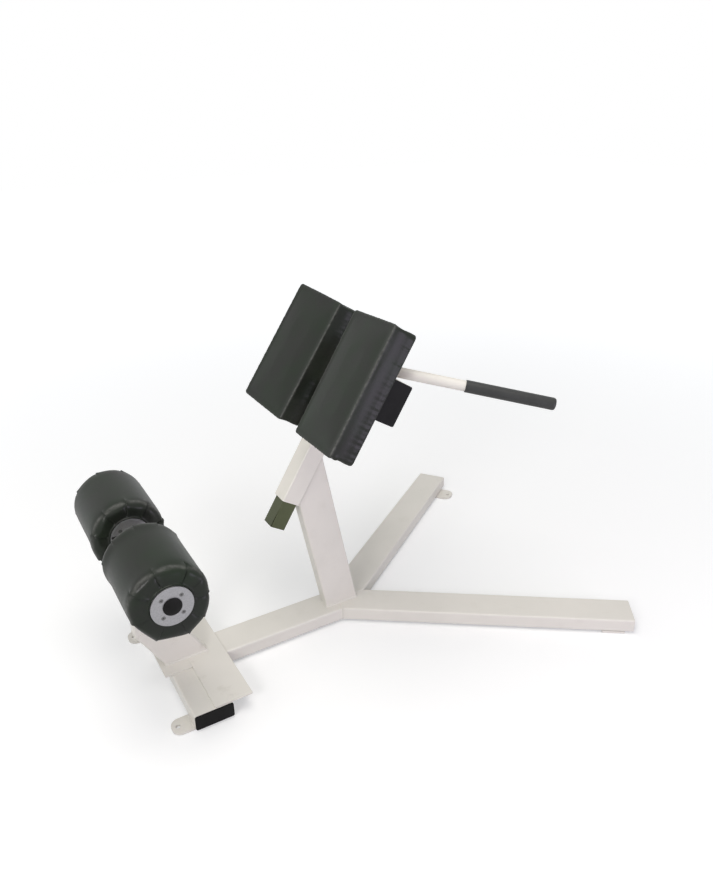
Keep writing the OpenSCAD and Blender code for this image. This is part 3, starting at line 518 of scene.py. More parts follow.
def four_sides(ring):
    """The bottom, right, top and left of a ring, each from its low or left end to the other."""
    closed = np.concatenate([ring, ring[:1]])
    at = np.cumsum([0, ACROSS, ALONG, ACROSS, ALONG])
    bottom, right, top, left = (closed[a:b + 1] for a, b in zip(at, at[1:]))
    return bottom, right, top[::-1], left[::-1]


def spanned(border):
    """The inside of the front: each point is the sum of the two straight lines that join opposite
    borders, less the flat patch through the four corners. Also how far inside each point lies,
    from 0 on the border to 1."""
    bottom, right, top, left = four_sides(border)
    u = np.linspace(0, 1, ACROSS + 1)[None, :, None]
    v = np.linspace(0, 1, ALONG + 1)[:, None, None]
    ruled = (1 - v) * bottom[None] + v * top[None] + (1 - u) * left[:, None] + u * right[:, None]
    flat = ((1 - u) * (1 - v) * bottom[0] + u * (1 - v) * bottom[-1]
            + (1 - u) * v * top[0] + u * v * top[-1])
    inner = (1 - np.abs(2 * u - 1) ** 5) * (1 - np.abs(2 * v - 1) ** 8)
    return ruled - flat, inner[..., 0]


# %% The closed skin of a pad
def pad_form(name, side, seed):
    """One closed skin from the middle of the pocket to the middle of the front: rings are
    (points, how deep they lie in front of the board's back). The sides draw in by a sine of the
    depth between the board and the front edge, which is a quarter circle."""
    rng = np.random.default_rng(seed)
    outline, outward = pad_outline(0, PAD_R)
    count = len(outline)
    behind, _ = pad_outline(0, BACK_R)
    pocket, _ = pad_outline(BOARD_INSET - PLAY, BOARD_R + PLAY)
    fold, fold_out = pad_outline(FOLD_W, 4)
    fold = fold + fold_out * slow_waves(rng, count, (1.3, 0.9, 0.6), (5, 11, 23))[:, None]
    halfway = (fold + behind) / 2
    # Folds heap up where the vinyl turns a corner on the board's back: waves under a bell
    corner_at = np.cumsum([0, ACROSS, ALONG, ACROSS])
    steps = np.abs((np.arange(count)[:, None] - corner_at + count / 2) % count - count / 2)
    heap = np.exp(-(steps.min(axis=1) / 3.2) ** 2) * (1.2 + np.cos(steps.min(axis=1) * 2.1))
    rings = [(pocket * shrink, BOARD_T + PLAY) for shrink in (0.35, 0.7, 0.95, 1.0)]
    rings += [(pocket, BOARD_T / 2), (pocket, -PLAY)]
    rings += [(halfway, -PLAY), (fold, -PLAY), (fold - 0.4 * fold_out, -PLAY - SKIN / 2),
              (fold, -PLAY - SKIN), (halfway, -0.4 - SKIN - 0.7 * heap),
              (behind - 2.5 * outward, -0.4 - SKIN - 0.4 * heap),
              (behind - 0.7 * outward, -0.2 - SKIN), (behind, 0.4)]
    side_end = PAD_DEPTH - PAD_EDGE
    for depth in np.linspace(3.5, side_end, DOWN):
        drawn = SWELL * np.sin(np.pi * np.clip((depth - BOARD_T) / (side_end - BOARD_T), 0, 1))
        front = smooth_step((depth - 4) / 30)
        rings.append((front * outline + (1 - front) * behind - drawn * outward, depth))
    for a in np.radians([18, 36, 54, 72, 90]):
        inset = PAD_EDGE * (1 - np.cos(a))
        rings.append((outline - inset * outward, side_end + PAD_EDGE * np.sin(a)))
    rows = len(rings)
    grid = np.vstack([np.column_stack([np.full(count, -depth), flat]) for flat, depth in rings])
    front, inner = spanned(rings[-1][0])
    inside = np.column_stack([-(PAD_DEPTH - SWELL * inner[1:-1, 1:-1]).ravel(),
                              front[1:-1, 1:-1].reshape(-1, 2)])
    local = np.vstack([grid, [[-BOARD_T - PLAY, 0, 0]], inside])
    # Numbers of the front's points: its rim is the last ring
    number = np.zeros((ALONG + 1, ACROSS + 1), int)
    number[0], number[:, -1], number[-1], number[:, 0] = four_sides(
        (rows - 1) * count + np.arange(count))
    number[1:-1, 1:-1] = rows * count + 1 + np.arange(len(inside)).reshape(ALONG - 1, ACROSS - 1)
    across = np.stack([number[:-1, :-1], number[:-1, 1:], number[1:, 1:], number[1:, :-1]], axis=-1)
    faces = np.vstack([grid_faces(rows, count, close_cols=True),
                       fan_faces(np.arange(count), rows * count, flip=True),
                       across.reshape(-1, 4)])
    return mesh_object(name, pad_mm(local, side), faces)


# %% [markdown]
# ## Swelling with cloth
#
# The form already has even squares, four to five millimetres wide. It is filled with pressure and
# let go for twenty frames. The foam holds the vinyl, so no point may move further than a few
# millimetres, and the points on the board don't move at all. What is left is the soft bulge of
# real upholstery.

# %% Cloth
FRAMES = 20


def active(obj):
    """Make one object the only selected and active one."""
    bpy.ops.object.select_all(action="DESELECT")
    obj.select_set(True)
    bpy.context.view_layer.objects.active = obj


def apply_all(obj):
    """Apply every modifier of an object."""
    active(obj)
    for modifier in list(obj.modifiers):
        bpy.ops.object.modifier_apply(modifier=modifier.name)


def vectors_of(rows, key):
    """One vector of each row of a mesh's table, as an array."""
    flat = np.zeros(len(rows) * 3, np.float32)
    rows.foreach_get(key, flat)
    return flat.reshape(-1, 3).astype(float)


def points_of(obj):
    """The points of a mesh as an array."""
    return vectors_of(obj.data.vertices, "co")


def set_points(obj, points):
    """Put an array of points back into a mesh."""
    obj.data.vertices.foreach_set("co", np.asarray(points, np.float32).ravel())
    obj.data.update()


def normals_of(obj):
    """The point normals of a mesh as an array."""
    return vectors_of(obj.data.vertex_normals, "vector")


def lift_points(obj, lift):
    """Move each point out along its normal by so many millimetres."""
    set_points(obj, points_of(obj) + normals_of(obj) * lift[:, None] / 1000)


def swell(obj, free, cap, pressure=4.0):
    """Cloth with pressure: free is 0 for a point that is held and 1 for a loose one, cap is the
    furthest that a loose point may move."""
    start = points_of(obj)
    held = obj.vertex_groups.new(name="held")
    for level in np.unique(np.round(1 - free, 1)):
        chosen = np.nonzero(np.abs(np.round(1 - free, 1) - level) < 0.01)[0]
        held.add(chosen.tolist(), float(level), "REPLACE")
    modifier = obj.modifiers.new("cloth", "CLOTH")
    cloth = modifier.settings
    cloth.quality = 5
    cloth.mass = 0.3
    cloth.tension_stiffness = cloth.compression_stiffness = 30
    cloth.bending_stiffness = 4
    cloth.vertex_group_mass = "held"
    cloth.pin_stiffness = 2.0
    cloth.use_pressure = True
    cloth.uniform_pressure_force = pressure
    cloth.effector_weights.gravity = 0
    modifier.collision_settings.use_collision = False
    modifier.point_cache.frame_start, modifier.point_cache.frame_end = 1, FRAMES
    for number in range(1, FRAMES + 1):
        bpy.context.scene.frame_set(number)
    apply_all(obj)
    bpy.context.scene.frame_set(1)
    moved = points_of(obj) - start
    far = np.linalg.norm(moved, axis=1)
    limit = cap * free
    scale = np.where(far > limit, limit / np.maximum(far, 1e-9), 1.0)
    set_points(obj, start + moved * scale[:, None])
    print(obj.name, "moved up to", round(1000 * float((far * scale).max()), 2), "mm")


def subdivide(obj):
    """One level of smooth subdivision, applied."""
    modifier = obj.modifiers.new("subdivide", "SUBSURF")
    modifier.levels = modifier.render_levels = 1
    apply_all(obj)


def mark_rubbed_highlight(obj, amount):
    """Store, from 0 to 1, how much of the paler colour each point takes: a painted highlight that also
    stands for rubbed vinyl.
    """
    held = obj.data.attributes.new("rubbed_highlight", "FLOAT", "POINT")
    held.data.foreach_set("value", np.asarray(amount, np.float32))


def turn_outwards(obj):
    """Turn every face outwards."""
    active(obj)
    bpy.ops.object.mode_set(mode="EDIT")
    bpy.ops.mesh.select_all(action="SELECT")
    bpy.ops.mesh.normals_make_consistent(inside=False)
    bpy.ops.object.mode_set(mode="OBJECT")


# %% Pull marks
def outside_of(across, along):
    """Signed distance to the pad's rounded outline, positive outside."""
    qx, qy = np.abs(across) - (PAD_W / 2 - PAD_R), np.abs(along) - (PAD_L / 2 - PAD_R)
    return np.hypot(np.maximum(qx, 0), np.maximum(qy, 0)) + np.minimum(np.maximum(qx, qy), 0) - PAD_R


def from_edges(place):
    """Distance along the skin to the nearest edge of the pad: a point on a face is at no distance
    from that face, so it is the second smallest distance to the front and to the four sides."""
    gaps = np.stack([PAD_W / 2 - np.abs(place[:, 1]), PAD_L / 2 - np.abs(place[:, 2]),
                     PAD_DEPTH + place[:, 0]])
    return np.sort(gaps, axis=0)[1]


# Depths between which the puckers fade out
PUCKER_START, PUCKER_END = 2, 42


def pull_marks(obj, side, seed):
    """Puckers where the vinyl is pulled round the board: ripples on the sides that fade out
    forty millimetres from the back, a faint unevenness of the front, and a wave of the seam that
    runs along its edges. Each is a sum of sines."""
    rng = np.random.default_rng(seed)
    place = pad_local(points_of(obj), side)
    depth, across, along = -place[:, 0], place[:, 1], place[:, 2]
    on_side = smooth_step(outside_of(across, along) + 4.5) * smooth_step((depth - 1) / 4)
    behind = np.clip((PUCKER_END - depth) / (PUCKER_END - PUCKER_START), 0, 1)
    round_pad = np.where(np.abs(across) / PAD_W > np.abs(along) / PAD_L, along, across + 400)
    waves = np.array([13.0, 19.0, 29.0, 47.0])
    starts = rng.uniform(0, 2 * np.pi, (3, 4))
    heights = np.array([0.26, 0.22, 0.20, 0.14])
    ripple = (heights * np.sin(2 * np.pi * round_pad[:, None] / waves + starts[0])).sum(axis=1)
    slack = (0.20 * np.sin(along / 31 + starts[1, 0]) * np.sin(across / 23 + starts[1, 1])
             + 0.16 * np.sin(along / 17 + starts[1, 2]) * np.sin(across / 47 + starts[1, 3]))
    on_front = smooth_step((depth - 55) / 6)
    seam = np.exp(-(from_edges(place) / 5) ** 2) * on_front * ripple * 0.7
    lift_points(obj, on_side * behind ** 1.3 * ripple + on_front * slack + seam)


def corner_fold(obj, side, at, size, height):
    """A small fold of spare vinyl that stands out at one corner: a bell-shaped bump with its own
    size along the pad's depth, width and length."""
    place = pad_local(points_of(obj), side)
    away = (place - np.array(at)) / np.array(size)
    lift_points(obj, height * np.exp(-(away ** 2).sum(axis=1)))


# %% Make the two pads
# The share of the swelling that the sides take, and how wide the paler edges are: painted highlight
# and rubbed wear
SIDE_LOOSE, RUBBED_HIGHLIGHT_W = 0.62, 4.2

for name, side in SIDES.items():
    pad = pad_form(f"{name}_pad_vinyl", side, 5 + side)
    turn_outwards(pad)
    place = pad_local(points_of(pad), side)
    # Held on the board and along the edges, looser towards the middle of each face
    loose = smooth_step((-place[:, 0] - BOARD_T - 2) / 12)
    loose *= smooth_step((from_edges(place) - 3) / 22)
    loose *= np.where(place[:, 0] < 3 - PAD_DEPTH, 1.0, SIDE_LOOSE)
    swell(pad, loose, (SWELL + PAD_CROWN) / 1000)
    subdivide(pad)
    pull_marks(pad, side, 11 + side)
    if side < 0:
        corner_fold(pad, side, (-48, 101, -174), (6, 7, 9), 3.0)
    # Paler along the edges of the front, most on the two long ones: painted highlight and rubbed wear
    place = pad_local(points_of(pad), side)
    near_edge = np.exp(-(from_edges(place) / RUBBED_HIGHLIGHT_W) ** 2) * smooth_step((-place[:, 0] - 50) / 12)
    long_edge = smooth_step((np.abs(place[:, 1]) - PAD_W / 2 + 8) / 6)
    mark_rubbed_highlight(pad, near_edge * (0.3 + 0.7 * long_edge))
    dress(pad, vinyl)
    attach(pad, "carriage")
    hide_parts(f"{name}_pad_cushion")
    extent = np.ptp(pad_local(points_of(pad), side), axis=0)
    print(pad.name, "mm deep, wide, long:", extent.round(1), "points", len(pad.data.vertices))

# %% [markdown]
# ## Ankle rollers
#
# A roller is foam on a core, in a vinyl cover. The cover's ends are drawn in to the metal disc and
# folded into panels, so each end is a ring of soft wedges with a crease between them, and the
# outline there is a rounded polygon. Gathered vinyl could be simulated from a flat cloth, but the
# folds would fall anywhere. Here the folds are placed at measured angles, the form between them is
# worked out, cloth pressure swells the panels while the creases are held, and the overlap of each
# pleat is pressed in last, on the finer mesh.
#
# The form is a profile carried round the axle: out from the disc, over the ridge, along the body,
# and back in at the other end.

# %% The creases of a roller cover
# Where the axle is, the two ends of a core along it, and the radii of cover, disc and bore
AXLE_X, AXLE_Z = -78.0, 422.0
CORE_IN, CORE_OUT = 51.0, 284.0
ROLLER_R, DISC_R, BORE_R = 91.6, 48.5, 38.3
HEM_R = DISC_R - 2
# Points round the axle, rings of the plain body, and how far in from an end it starts
AROUND, BODY_ROWS, BODY_FROM = 288, 9, 75

# Creases of an end. Of each: its angle in degrees in the plane of the roller, the radius of the
# corner that it makes in the outline, how strong its pleat is (below 0 where the panel after it
# lies on top), and of the panel from there to the next crease: how straight its outline runs (0 is
# round) and how softly it rolls over the ridge
RIGHT_OUTER = [(-163, 90, 1.0, 0.8, 0.1), (-115, 97, 0.6, 1.0, 0.1), (-72, 104, -0.8, 1.0, 0.1),
               (-43, 99, -0.9, 0.2, 0.2), (-3, 89, -1.2, 0.1, 0.4), (28, 92, -0.8, 0.1, 0.4),
               (60, 89, -1.8, 0.4, 0.5), (107, 92, 1.2, 0.4, 0.5), (147, 94, 1.4, 0.1, 0.8)]
RIGHT_INNER = [(-135, 93, 0.8, 0.2, 0.3), (-95, 94, 0.8, 0.3, 0.3), (-55, 94, -0.8, 0.4, 0.3),
               (-15, 93, -0.8, 0.3, 0.3), (25, 93, -0.8, 0.3, 0.3), (62, 93, -0.8, 0.2, 0.3),
               (98, 93, 0.8, 0.2, 0.3), (135, 94, 0.8, 0.2, 0.3), (171, 97.5, 0.6, 0.2, 0.3)]
LEFT_INNER = [(-148, 97, 1.0, 0.4, 0.1), (-105, 96, 0.8, 0.5, 0.1), (-68, 95, -0.8, 0.4, 0.2),
              (-32, 93, -0.8, 0.3, 0.2), (7, 91, 1.3, 0.3, 0.2), (52, 91, -1.8, 0.5, 0.4),
              (88, 92, 1.0, 0.5, 0.4), (125, 90, 1.2, 0.4, 0.5), (166, 91, 1.5, 0.2, 0.2)]
LEFT_OUTER = [(-170, 91, 0.8, 0.2, 0.6), (-126, 92, 0.8, 0.4, 0.5), (-80, 93, 0.8, 0.5, 0.4),
              (-33, 92, 0.8, 0.4, 0.4), (14, 91, 0.8, 0.2, 0.5), (60, 90, 0.8, 0.1, 0.6),
              (104, 90, 0.8, 0.1, 0.6), (149, 90, 0.8, 0.1, 0.6)]
ENDS = {-1: (RIGHT_OUTER, RIGHT_INNER), 1: (LEFT_OUTER, LEFT_INNER)}


def wrapped(angle):
    """An angle in degrees between -180 and 180."""
    return (angle + 180) % 360 - 180


def crease_fields(angle, creases):
    """For each angle: its share of the way from the crease before it to the next one, the radius
    of the outline there, between a chord that joins the two corners and a fuller curve, how soft
    the ridge is, and how strong the pleats before and after are."""
    at, radius, pleat, straight, soft = np.array(sorted(creases), float).T
    after = np.append(at[1:], at[0] + 360)
    after_r, after_pleat = np.roll(radius, -1), np.roll(pleat, -1)
    a = np.where(angle < at[0], angle + 360, angle)
    k = np.clip(np.searchsorted(at, a, side="right") - 1, 0, len(at) - 1)
    t = (a - at[k]) / (after[k] - at[k])
    first, second = np.radians(at[k]), np.radians(after[k])
    chord = np.hypot(radius[k] * np.cos(first) * (1 - t) + after_r[k] * np.cos(second) * t,
                     radius[k] * np.sin(first) * (1 - t) + after_r[k] * np.sin(second) * t)
    bulge = 1.5 * np.sin(np.pi * t) - np.abs(2 * t - 1) ** 3
    curve = radius[k] * (1 - t) + after_r[k] * t + bulge
    outline = straight[k] * chord + (1 - straight[k]) * curve
    return t, outline, soft[k] * np.sin(np.pi * t) ** 0.7, pleat[k], after_pleat[k]


# %% The form of a roller cover
# Rows of the profile: how far out between the disc and the ridge, distance in from the end of the
# core with a tight ridge and with a soft one, share of the creased outline. The first rows lie
# under the disc, the next ones are the rolled hem round it, the last ones run along the body.
PROFILE = [(-0.23, 0.3, 0.3, 0.0), (-0.12, 0.3, 0.3, 0.0), (0.0, 0.3, 0.3, 0.0),
           (0.050, 0.3, 0.3, 0.0), (0.058, -0.7, -0.7, 0.0), (0.072, -1.3, -1.3, 0.0),
           (0.088, -1.3, -1.3, 0.0), (0.102, -0.6, -0.6, 0.01), (0.112, 0.9, 1.0, 0.02),
           (0.15, 2.0, 2.4, 0.08), (0.22, 2.6, 3.5, 0.18), (0.32, 2.9, 4.7, 0.32),
           (0.44, 3.2, 6.2, 0.48), (0.56, 3.6, 8.0, 0.63), (0.68, 4.2, 10.4, 0.76),
           (0.78, 5.0, 13.0, 0.86), (0.86, 6.1, 15.8, 0.93), (0.92, 7.6, 19.0, 0.97),
           (0.965, 9.6, 22.6, 1.0), (0.99, 12.0, 26.4, 1.0), (1.0, 14.8, 30.2, 0.98),
           (1.006, 18.4, 33.8, 0.88), (1.01, 23.5, 38.0, 0.68), (1.008, 30.0, 43.0, 0.42),
           (1.004, 38.0, 49.0, 0.2), (1.0, 48.0, 56.0, 0.06), (1.0, 62.0, 66.0, 0.0)]
# How far the middle of a panel bows out
PILLOW = 4.6


def ring_at(angle, radius, y):
    """A ring of points round the axle, from angles in degrees."""
    turn = np.radians(angle)
    return np.column_stack([AXLE_X + radius * np.cos(turn), np.broadcast_to(y, turn.shape),
                            AXLE_Z + radius * np.sin(turn)])


def end_rings(creases, from_end, direction, side, angle):
    """Rings of one end, one for each row of the profile. Between creases a panel bows out by a
    sine of its share, most at two thirds of the way out, like a pillow."""
    t, outline, soft, _, _ = crease_fields(angle, creases)
    innermost, rings = PROFILE[0][0], []
    for out, tight, loose, creased in PROFILE:
        edge = HEM_R + (out * (ROLLER_R - HEM_R) if out > 0 else -out / innermost * (HEM_R - BORE_R))
        radius = edge * (1 + creased * (outline / ROLLER_R - 1) * edge / ROLLER_R)
        pillow = np.sin(np.pi * t) ** 0.6 * np.sin(np.pi * np.clip((out - 0.1) / 0.9, 0, 1) ** 1.6)
        y = from_end + direction * ((1 - soft) * tight + soft * loose - PILLOW * pillow)
        rings.append(ring_at(angle, radius, side * y))
    return rings


def cover_form(name, side):
    """The whole cover as a closed ring of rings: outer end, body, inner end and back through the
    bore."""
    outer, inner = ENDS[side]
    angle = np.linspace(-180, 180, AROUND, endpoint=False)
    body = [ring_at(angle, ROLLER_R, side * y)
            for y in np.linspace(CORE_OUT - BODY_FROM, CORE_IN + BODY_FROM, BODY_ROWS)]
    rings = (end_rings(outer, CORE_OUT, -1, side, angle) + body
             + end_rings(inner, CORE_IN, 1, side, angle)[::-1])
    faces = grid_faces(len(rings), AROUND, close_rows=True, close_cols=True, flip=side < 0)
    return mesh_object(name, base_mm(np.vstack(rings)), faces)


def roller_place(obj, side):
    """Where each point of a cover is: the crease fields of its end, distance in from the end, and
    radius."""
    place = points_of(obj) * 1000 + [MIDDLE_X, 0, 0]
    angle = wrapped(np.degrees(np.arctan2(place[:, 2] - AXLE_Z, place[:, 0] - AXLE_X)))
    radius = np.hypot(place[:, 0] - AXLE_X, place[:, 2] - AXLE_Z)
    is_outer = np.abs(place[:, 1]) > (CORE_IN + CORE_OUT) / 2
    outer, inner = ENDS[side]
    fields = [np.where(is_outer, a, b) for a, b in zip(crease_fields(angle, outer),
                                                       crease_fields(angle, inner))]
    from_end = np.where(is_outer, CORE_OUT - np.abs(place[:, 1]), np.abs(place[:, 1]) - CORE_IN)
    return fields, from_end, radius


# %% Pleats
# How deep a pleat dives and how high its lip stands, and its width as a share of the panel
PLEAT_DEPTH, PLEAT_LIP, PLEAT_W = 1.7, 1.9, 0.11


def pleats(obj, side):
    """Overlapping pleats at the creases: the vinyl climbs over a lip on one side of a crease and
    dives under it on the other, both as bells of its share of the panel. They fade out on the body
    and at the hem."""
    (t, _, _, before, after), from_end, radius = roller_place(obj, side)
    strength = smooth_step((radius - 51) / 6) * smooth_step((32 - from_end) / 18)
    lift = (after * np.where(after > 0, PLEAT_LIP, PLEAT_DEPTH) * np.exp(-((1 - t) / PLEAT_W) ** 1.5)
            - before * np.where(before > 0, PLEAT_DEPTH, PLEAT_LIP) * np.exp(-(t / PLEAT_W) ** 1.5))
    lift_points(obj, lift * strength)


# %% Make the two rollers
# How far a panel may swell, in metres, with what pressure, and how wide the paler ridge is: painted
# highlight and rubbed wear
ROLLER_SWELL, ROLLER_PRESSURE, RIDGE_RUBBED_HIGHLIGHT_W = 0.0015, 3.0, 5

for name, side in SIDES.items():
    cover = cover_form(f"{name}_roller_vinyl", side)
    turn_outwards(cover)
    # Held on the body, at the hem and along the creases
    (t, *_), from_end, radius = roller_place(cover, side)
    loose = smooth_step((40 - from_end) / 20) * smooth_step((radius - 53) / 8)
    loose *= smooth_step((np.minimum(t, 1 - t) - 0.03) / 0.15)
    swell(cover, loose, ROLLER_SWELL, ROLLER_PRESSURE)
    subdivide(cover)
    pleats(cover, side)
    # Paler along the ridge, less towards a crease: painted highlight and rubbed wear
    (t, _, soft, _, _), from_end, radius = roller_place(cover, side)
    off_ridge = np.hypot(from_end - 9 - 15 * soft, np.minimum(radius - ROLLER_R + 3, 0))
    mark_rubbed_highlight(cover, np.exp(-(off_ridge / RIDGE_RUBBED_HIGHLIGHT_W) ** 2) * np.sin(np.pi * t) ** 0.5)
    dress(cover, vinyl)
    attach(cover, f"{name}_roller")
    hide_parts(f"{name}_roller_cover")
    print(cover.name, "points", len(cover.data.vertices))

# %% [markdown]
# ## Weld beads
#
# The frame is welded, and its seams are what makes it read as steel. A bead is a half-round ridge
# with ripples a few millimetres apart, painted over. It is a round profile carried along the
# joint's line, with a radius that swells and shrinks a little, and half of it is sunk in the steel.


# %% A bead along a path
def resampled(path, step):
    """Points along a path at even steps, and how far along it each one lies."""
    path = np.asarray(path, float)
    along = np.concatenate([[0], np.cumsum(np.linalg.norm(np.diff(path, axis=0), axis=1))])
    count = max(3, int(along[-1] / step) + 1)
    at = np.linspace(0, along[-1], count)
    return np.stack([np.interp(at, along, path[:, k]) for k in range(3)], axis=1), at


# From one ripple of a bead to the next
RIPPLE = 3.2


def bead(path, radius, step):
    """Points and faces of a bead: circles of eight points square to the path, whose radius is
    radius times one plus two small sines of the distance, and which narrow to nothing at open
    ends. A path that ends where it starts has none."""
    line, at = resampled(path, step)
    closed = np.allclose(line[0], line[-1])
    if closed:
        line, at = line[:-1], at[:-1]
        ahead = np.roll(line, -1, axis=0) - np.roll(line, 1, axis=0)
    else:
        ahead = np.gradient(line, axis=0)
    ahead /= np.linalg.norm(ahead, axis=1, keepdims=True)
    spare = np.where(np.abs(ahead[:, 2:3]) < 0.9, [[0, 0, 1.0]], [[1.0, 0, 0]])
    across = np.cross(ahead, spare)
    across /= np.linalg.norm(across, axis=1, keepdims=True)
    over = np.cross(ahead, across)
    wide = radius * (1 + 0.10 * np.sin(2 * np.pi * at / RIPPLE) + 0.05 * np.sin(at / 7.1 + 1))
    if not closed:
        span = at[-1]
        wide = wide * np.sqrt(np.clip(np.minimum(at, span - at) / (1.5 * radius), 0.02, 1))
    turn = np.radians(np.arange(0, 360, 45))
    rings = (line[:, None] + wide[:, None, None] * (
        np.cos(turn)[None, :, None] * across[:, None] + np.sin(turn)[None, :, None] * over[:, None]))
    count, rows = len(turn), len(line)
    points = rings.reshape(-1, 3)
    faces = grid_faces(rows, count, close_rows=closed, close_cols=True, flip=True)
    if not closed:
        points = np.vstack([points, line[:1], line[-1:]])
        faces = np.vstack([faces, fan_faces(np.arange(count), rows * count),
                           fan_faces(np.arange(count) + (rows - 1) * count, rows * count + 1,
                                     flip=True)])
    return points, faces


def bead_piece(name, body, to_part, runs, material=coat, step=1.3):
    """One piece out of several beads: runs are (path, radius)."""
    points, faces = zip(*[bead(path, radius, step) for path, radius in runs])
    firsts = np.cumsum([0] + [len(p) for p in points[:-1]])
    made = mesh_object(name, to_part(np.vstack(points)),
                       np.vstack([f + first for f, first in zip(faces, firsts)]))
    turn_outwards(made)
    dress(made, material)
    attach(made, body)
    print(made.name, "faces", len(made.data.polygons))


def ring_path(centre, radius, across, over):
    """Points on a circle, from its centre, radius and two directions."""
    turn = np.radians(np.linspace(0, 360, 73))[:, None]
    return centre + radius * (np.cos(turn) * across + np.sin(turn) * over)


def rectangle_path(centre, across, over, half_a, half_b, radius=5.0):
    """A closed rounded rectangle in space, from two directions and its half sizes."""
    w, l = half_a - radius, half_b - radius
    angle = np.radians(np.concatenate([np.arange(0, 91, 10) + 90 * k for k in range(4)]))
    middle = np.repeat(np.array([[w, l], [-w, l], [-w, -l], [w, -l]]), 10, axis=0)
    outline = middle + radius * np.stack([np.cos(angle), np.sin(angle)], axis=1)
    outline = np.vstack([outline, outline[:1]])
    return centre + outline[:, :1] * across + outline[:, 1:] * over


# %% Where the frame's beads run
# Half the width and half the thickness of the tube, the boss of the axle, the tops of tube and
# base plate, and the top of an anchor plate with the stretch of it along the foot beam
TUBE_W2, TUBE_T2, BOSS_R = 50, 20, 20
TUBE_TOP, DECK_TOP = 46.0, 50.0
ANCHOR_TOP, ANCHOR_FROM, ANCHOR_TO = 6, 176, 224
UPRIGHT_X, LEAN = 481.0, np.radians(11.0)
ARM_FOOT_X, KNEE = 4.5, [-69.05, 0, 180.0]
ARM_LEAN, POST_LEAN = np.radians(29.5), np.radians(2.12)
FORK_X, LEG_ANGLE = 483.0, np.radians(36.0)
ALONG_X, ALONG_Y, ALONG_Z = np.eye(3)

knee_tilt = (ARM_LEAN + POST_LEAN) / 2
crotch_x = FORK_X + TUBE_W2 / np.sin(LEG_ANGLE)
mitre_x = FORK_X - TUBE_W2 * np.tan(LEG_ANGLE / 2)
sunk_top, proud_side = TUBE_TOP - 0.6, TUBE_W2 + 0.4
frame_runs = [
    # Upright on the spine, arm on its base plate, the arm's knee, the seam between the two legs
    (rectangle_path([UPRIGHT_X, 0, TUBE_TOP], ALONG_X, ALONG_Y, TUBE_W2 / np.cos(LEAN), TUBE_T2), 3.4),
    (rectangle_path([ARM_FOOT_X, 0, DECK_TOP], ALONG_X, ALONG_Y, TUBE_W2 / np.cos(ARM_LEAN),
                    TUBE_T2), 3.4),
    (rectangle_path(KNEE, [np.cos(knee_tilt), 0, np.sin(knee_tilt)], ALONG_Y,
                    TUBE_W2 / np.cos((ARM_LEAN - POST_LEAN) / 2), TUBE_T2), 1.7),
    ([[FORK_X, 0, sunk_top], [crotch_x, 0, sunk_top]], 2.2),
]
for side in (-1, 1):
    frame_runs += [
        # Spine on the foot beam, the mitre between spine and leg, the boss in the arm
        ([[TUBE_W2, side * TUBE_W2, 7], [TUBE_W2, side * TUBE_W2, 45]], 3.2),
        ([[FORK_X, 0, sunk_top], [mitre_x, side * TUBE_W2, sunk_top],
          [mitre_x, side * proud_side, 40], [mitre_x, side * proud_side, 8]], 1.9),
        (ring_path([AXLE_X, side * TUBE_T2, AXLE_Z], BOSS_R, ALONG_X, ALONG_Z), 2.6),
    ]
    frame_runs += [([[x, side * y, ANCHOR_TOP] for y in (ANCHOR_FROM, ANCHOR_TO)], 2.6)
                   for x in (-TUBE_W2, TUBE_W2)]
bead_piece("frame_weld_beads", "frame", base_mm, frame_runs)

# %% Beads on the cross beam and on the sleeve
# The cross beam, half of the inner tube, the ribs behind the pads, the handle bars on the beam,
# and the barrel of the locking pin on the sleeve
BEAM_Z, BEAM_H, BEAM_D = 373.0, 110.0, 60.0
INNER_W2, INNER_R = 22.5, 3
RIB_AWAY, RIB_T2, RIB_FROM, RIB_TO = 45, 3, 126, 205
BAR_X, BAR_SIDE, BAR_FROM, BAR_TO = 5, 6, 54, 128
SLEEVE_W2, PIN_Z, BARREL_R = 27.5, 185, 12

bar_z = BEAM_Z + BEAM_H / 2 + 2.2
mast_runs = [
    (rectangle_path([0, 0, BEAM_Z - BEAM_H / 2], ALONG_X, ALONG_Y, INNER_W2, INNER_W2, INNER_R), 2.8),
]
for side in (-1, 1):
    mast_runs += [([[-BEAM_D / 2, side * y, BEAM_Z + away + face] for y in (RIB_FROM, RIB_TO)], 2.0)
                  for away in (-RIB_AWAY, RIB_AWAY) for face in (-RIB_T2, RIB_T2)]
    mast_runs += [([[BAR_X + face, side * y, bar_z] for y in (BAR_FROM, BAR_TO)], 2.6)
                  for face in (-BAR_SIDE, BAR_SIDE)]
bead_piece("carriage_weld_beads", "carriage", mast_mm, mast_runs)
sleeve_runs = [(ring_path([SLEEVE_W2, 0, PIN_Z], BARREL_R, ALONG_Y, ALONG_Z), 2.2)]
bead_piece("sleeve_weld_beads", "frame", mast_mm, sleeve_runs)

# %% [markdown]
# ## Staples
#
# The fold of vinyl on the back of each board is held by staples, ten millimetres wide and about
# thirty apart. A staple's crown is a short wire that lies on the fold along the edge.

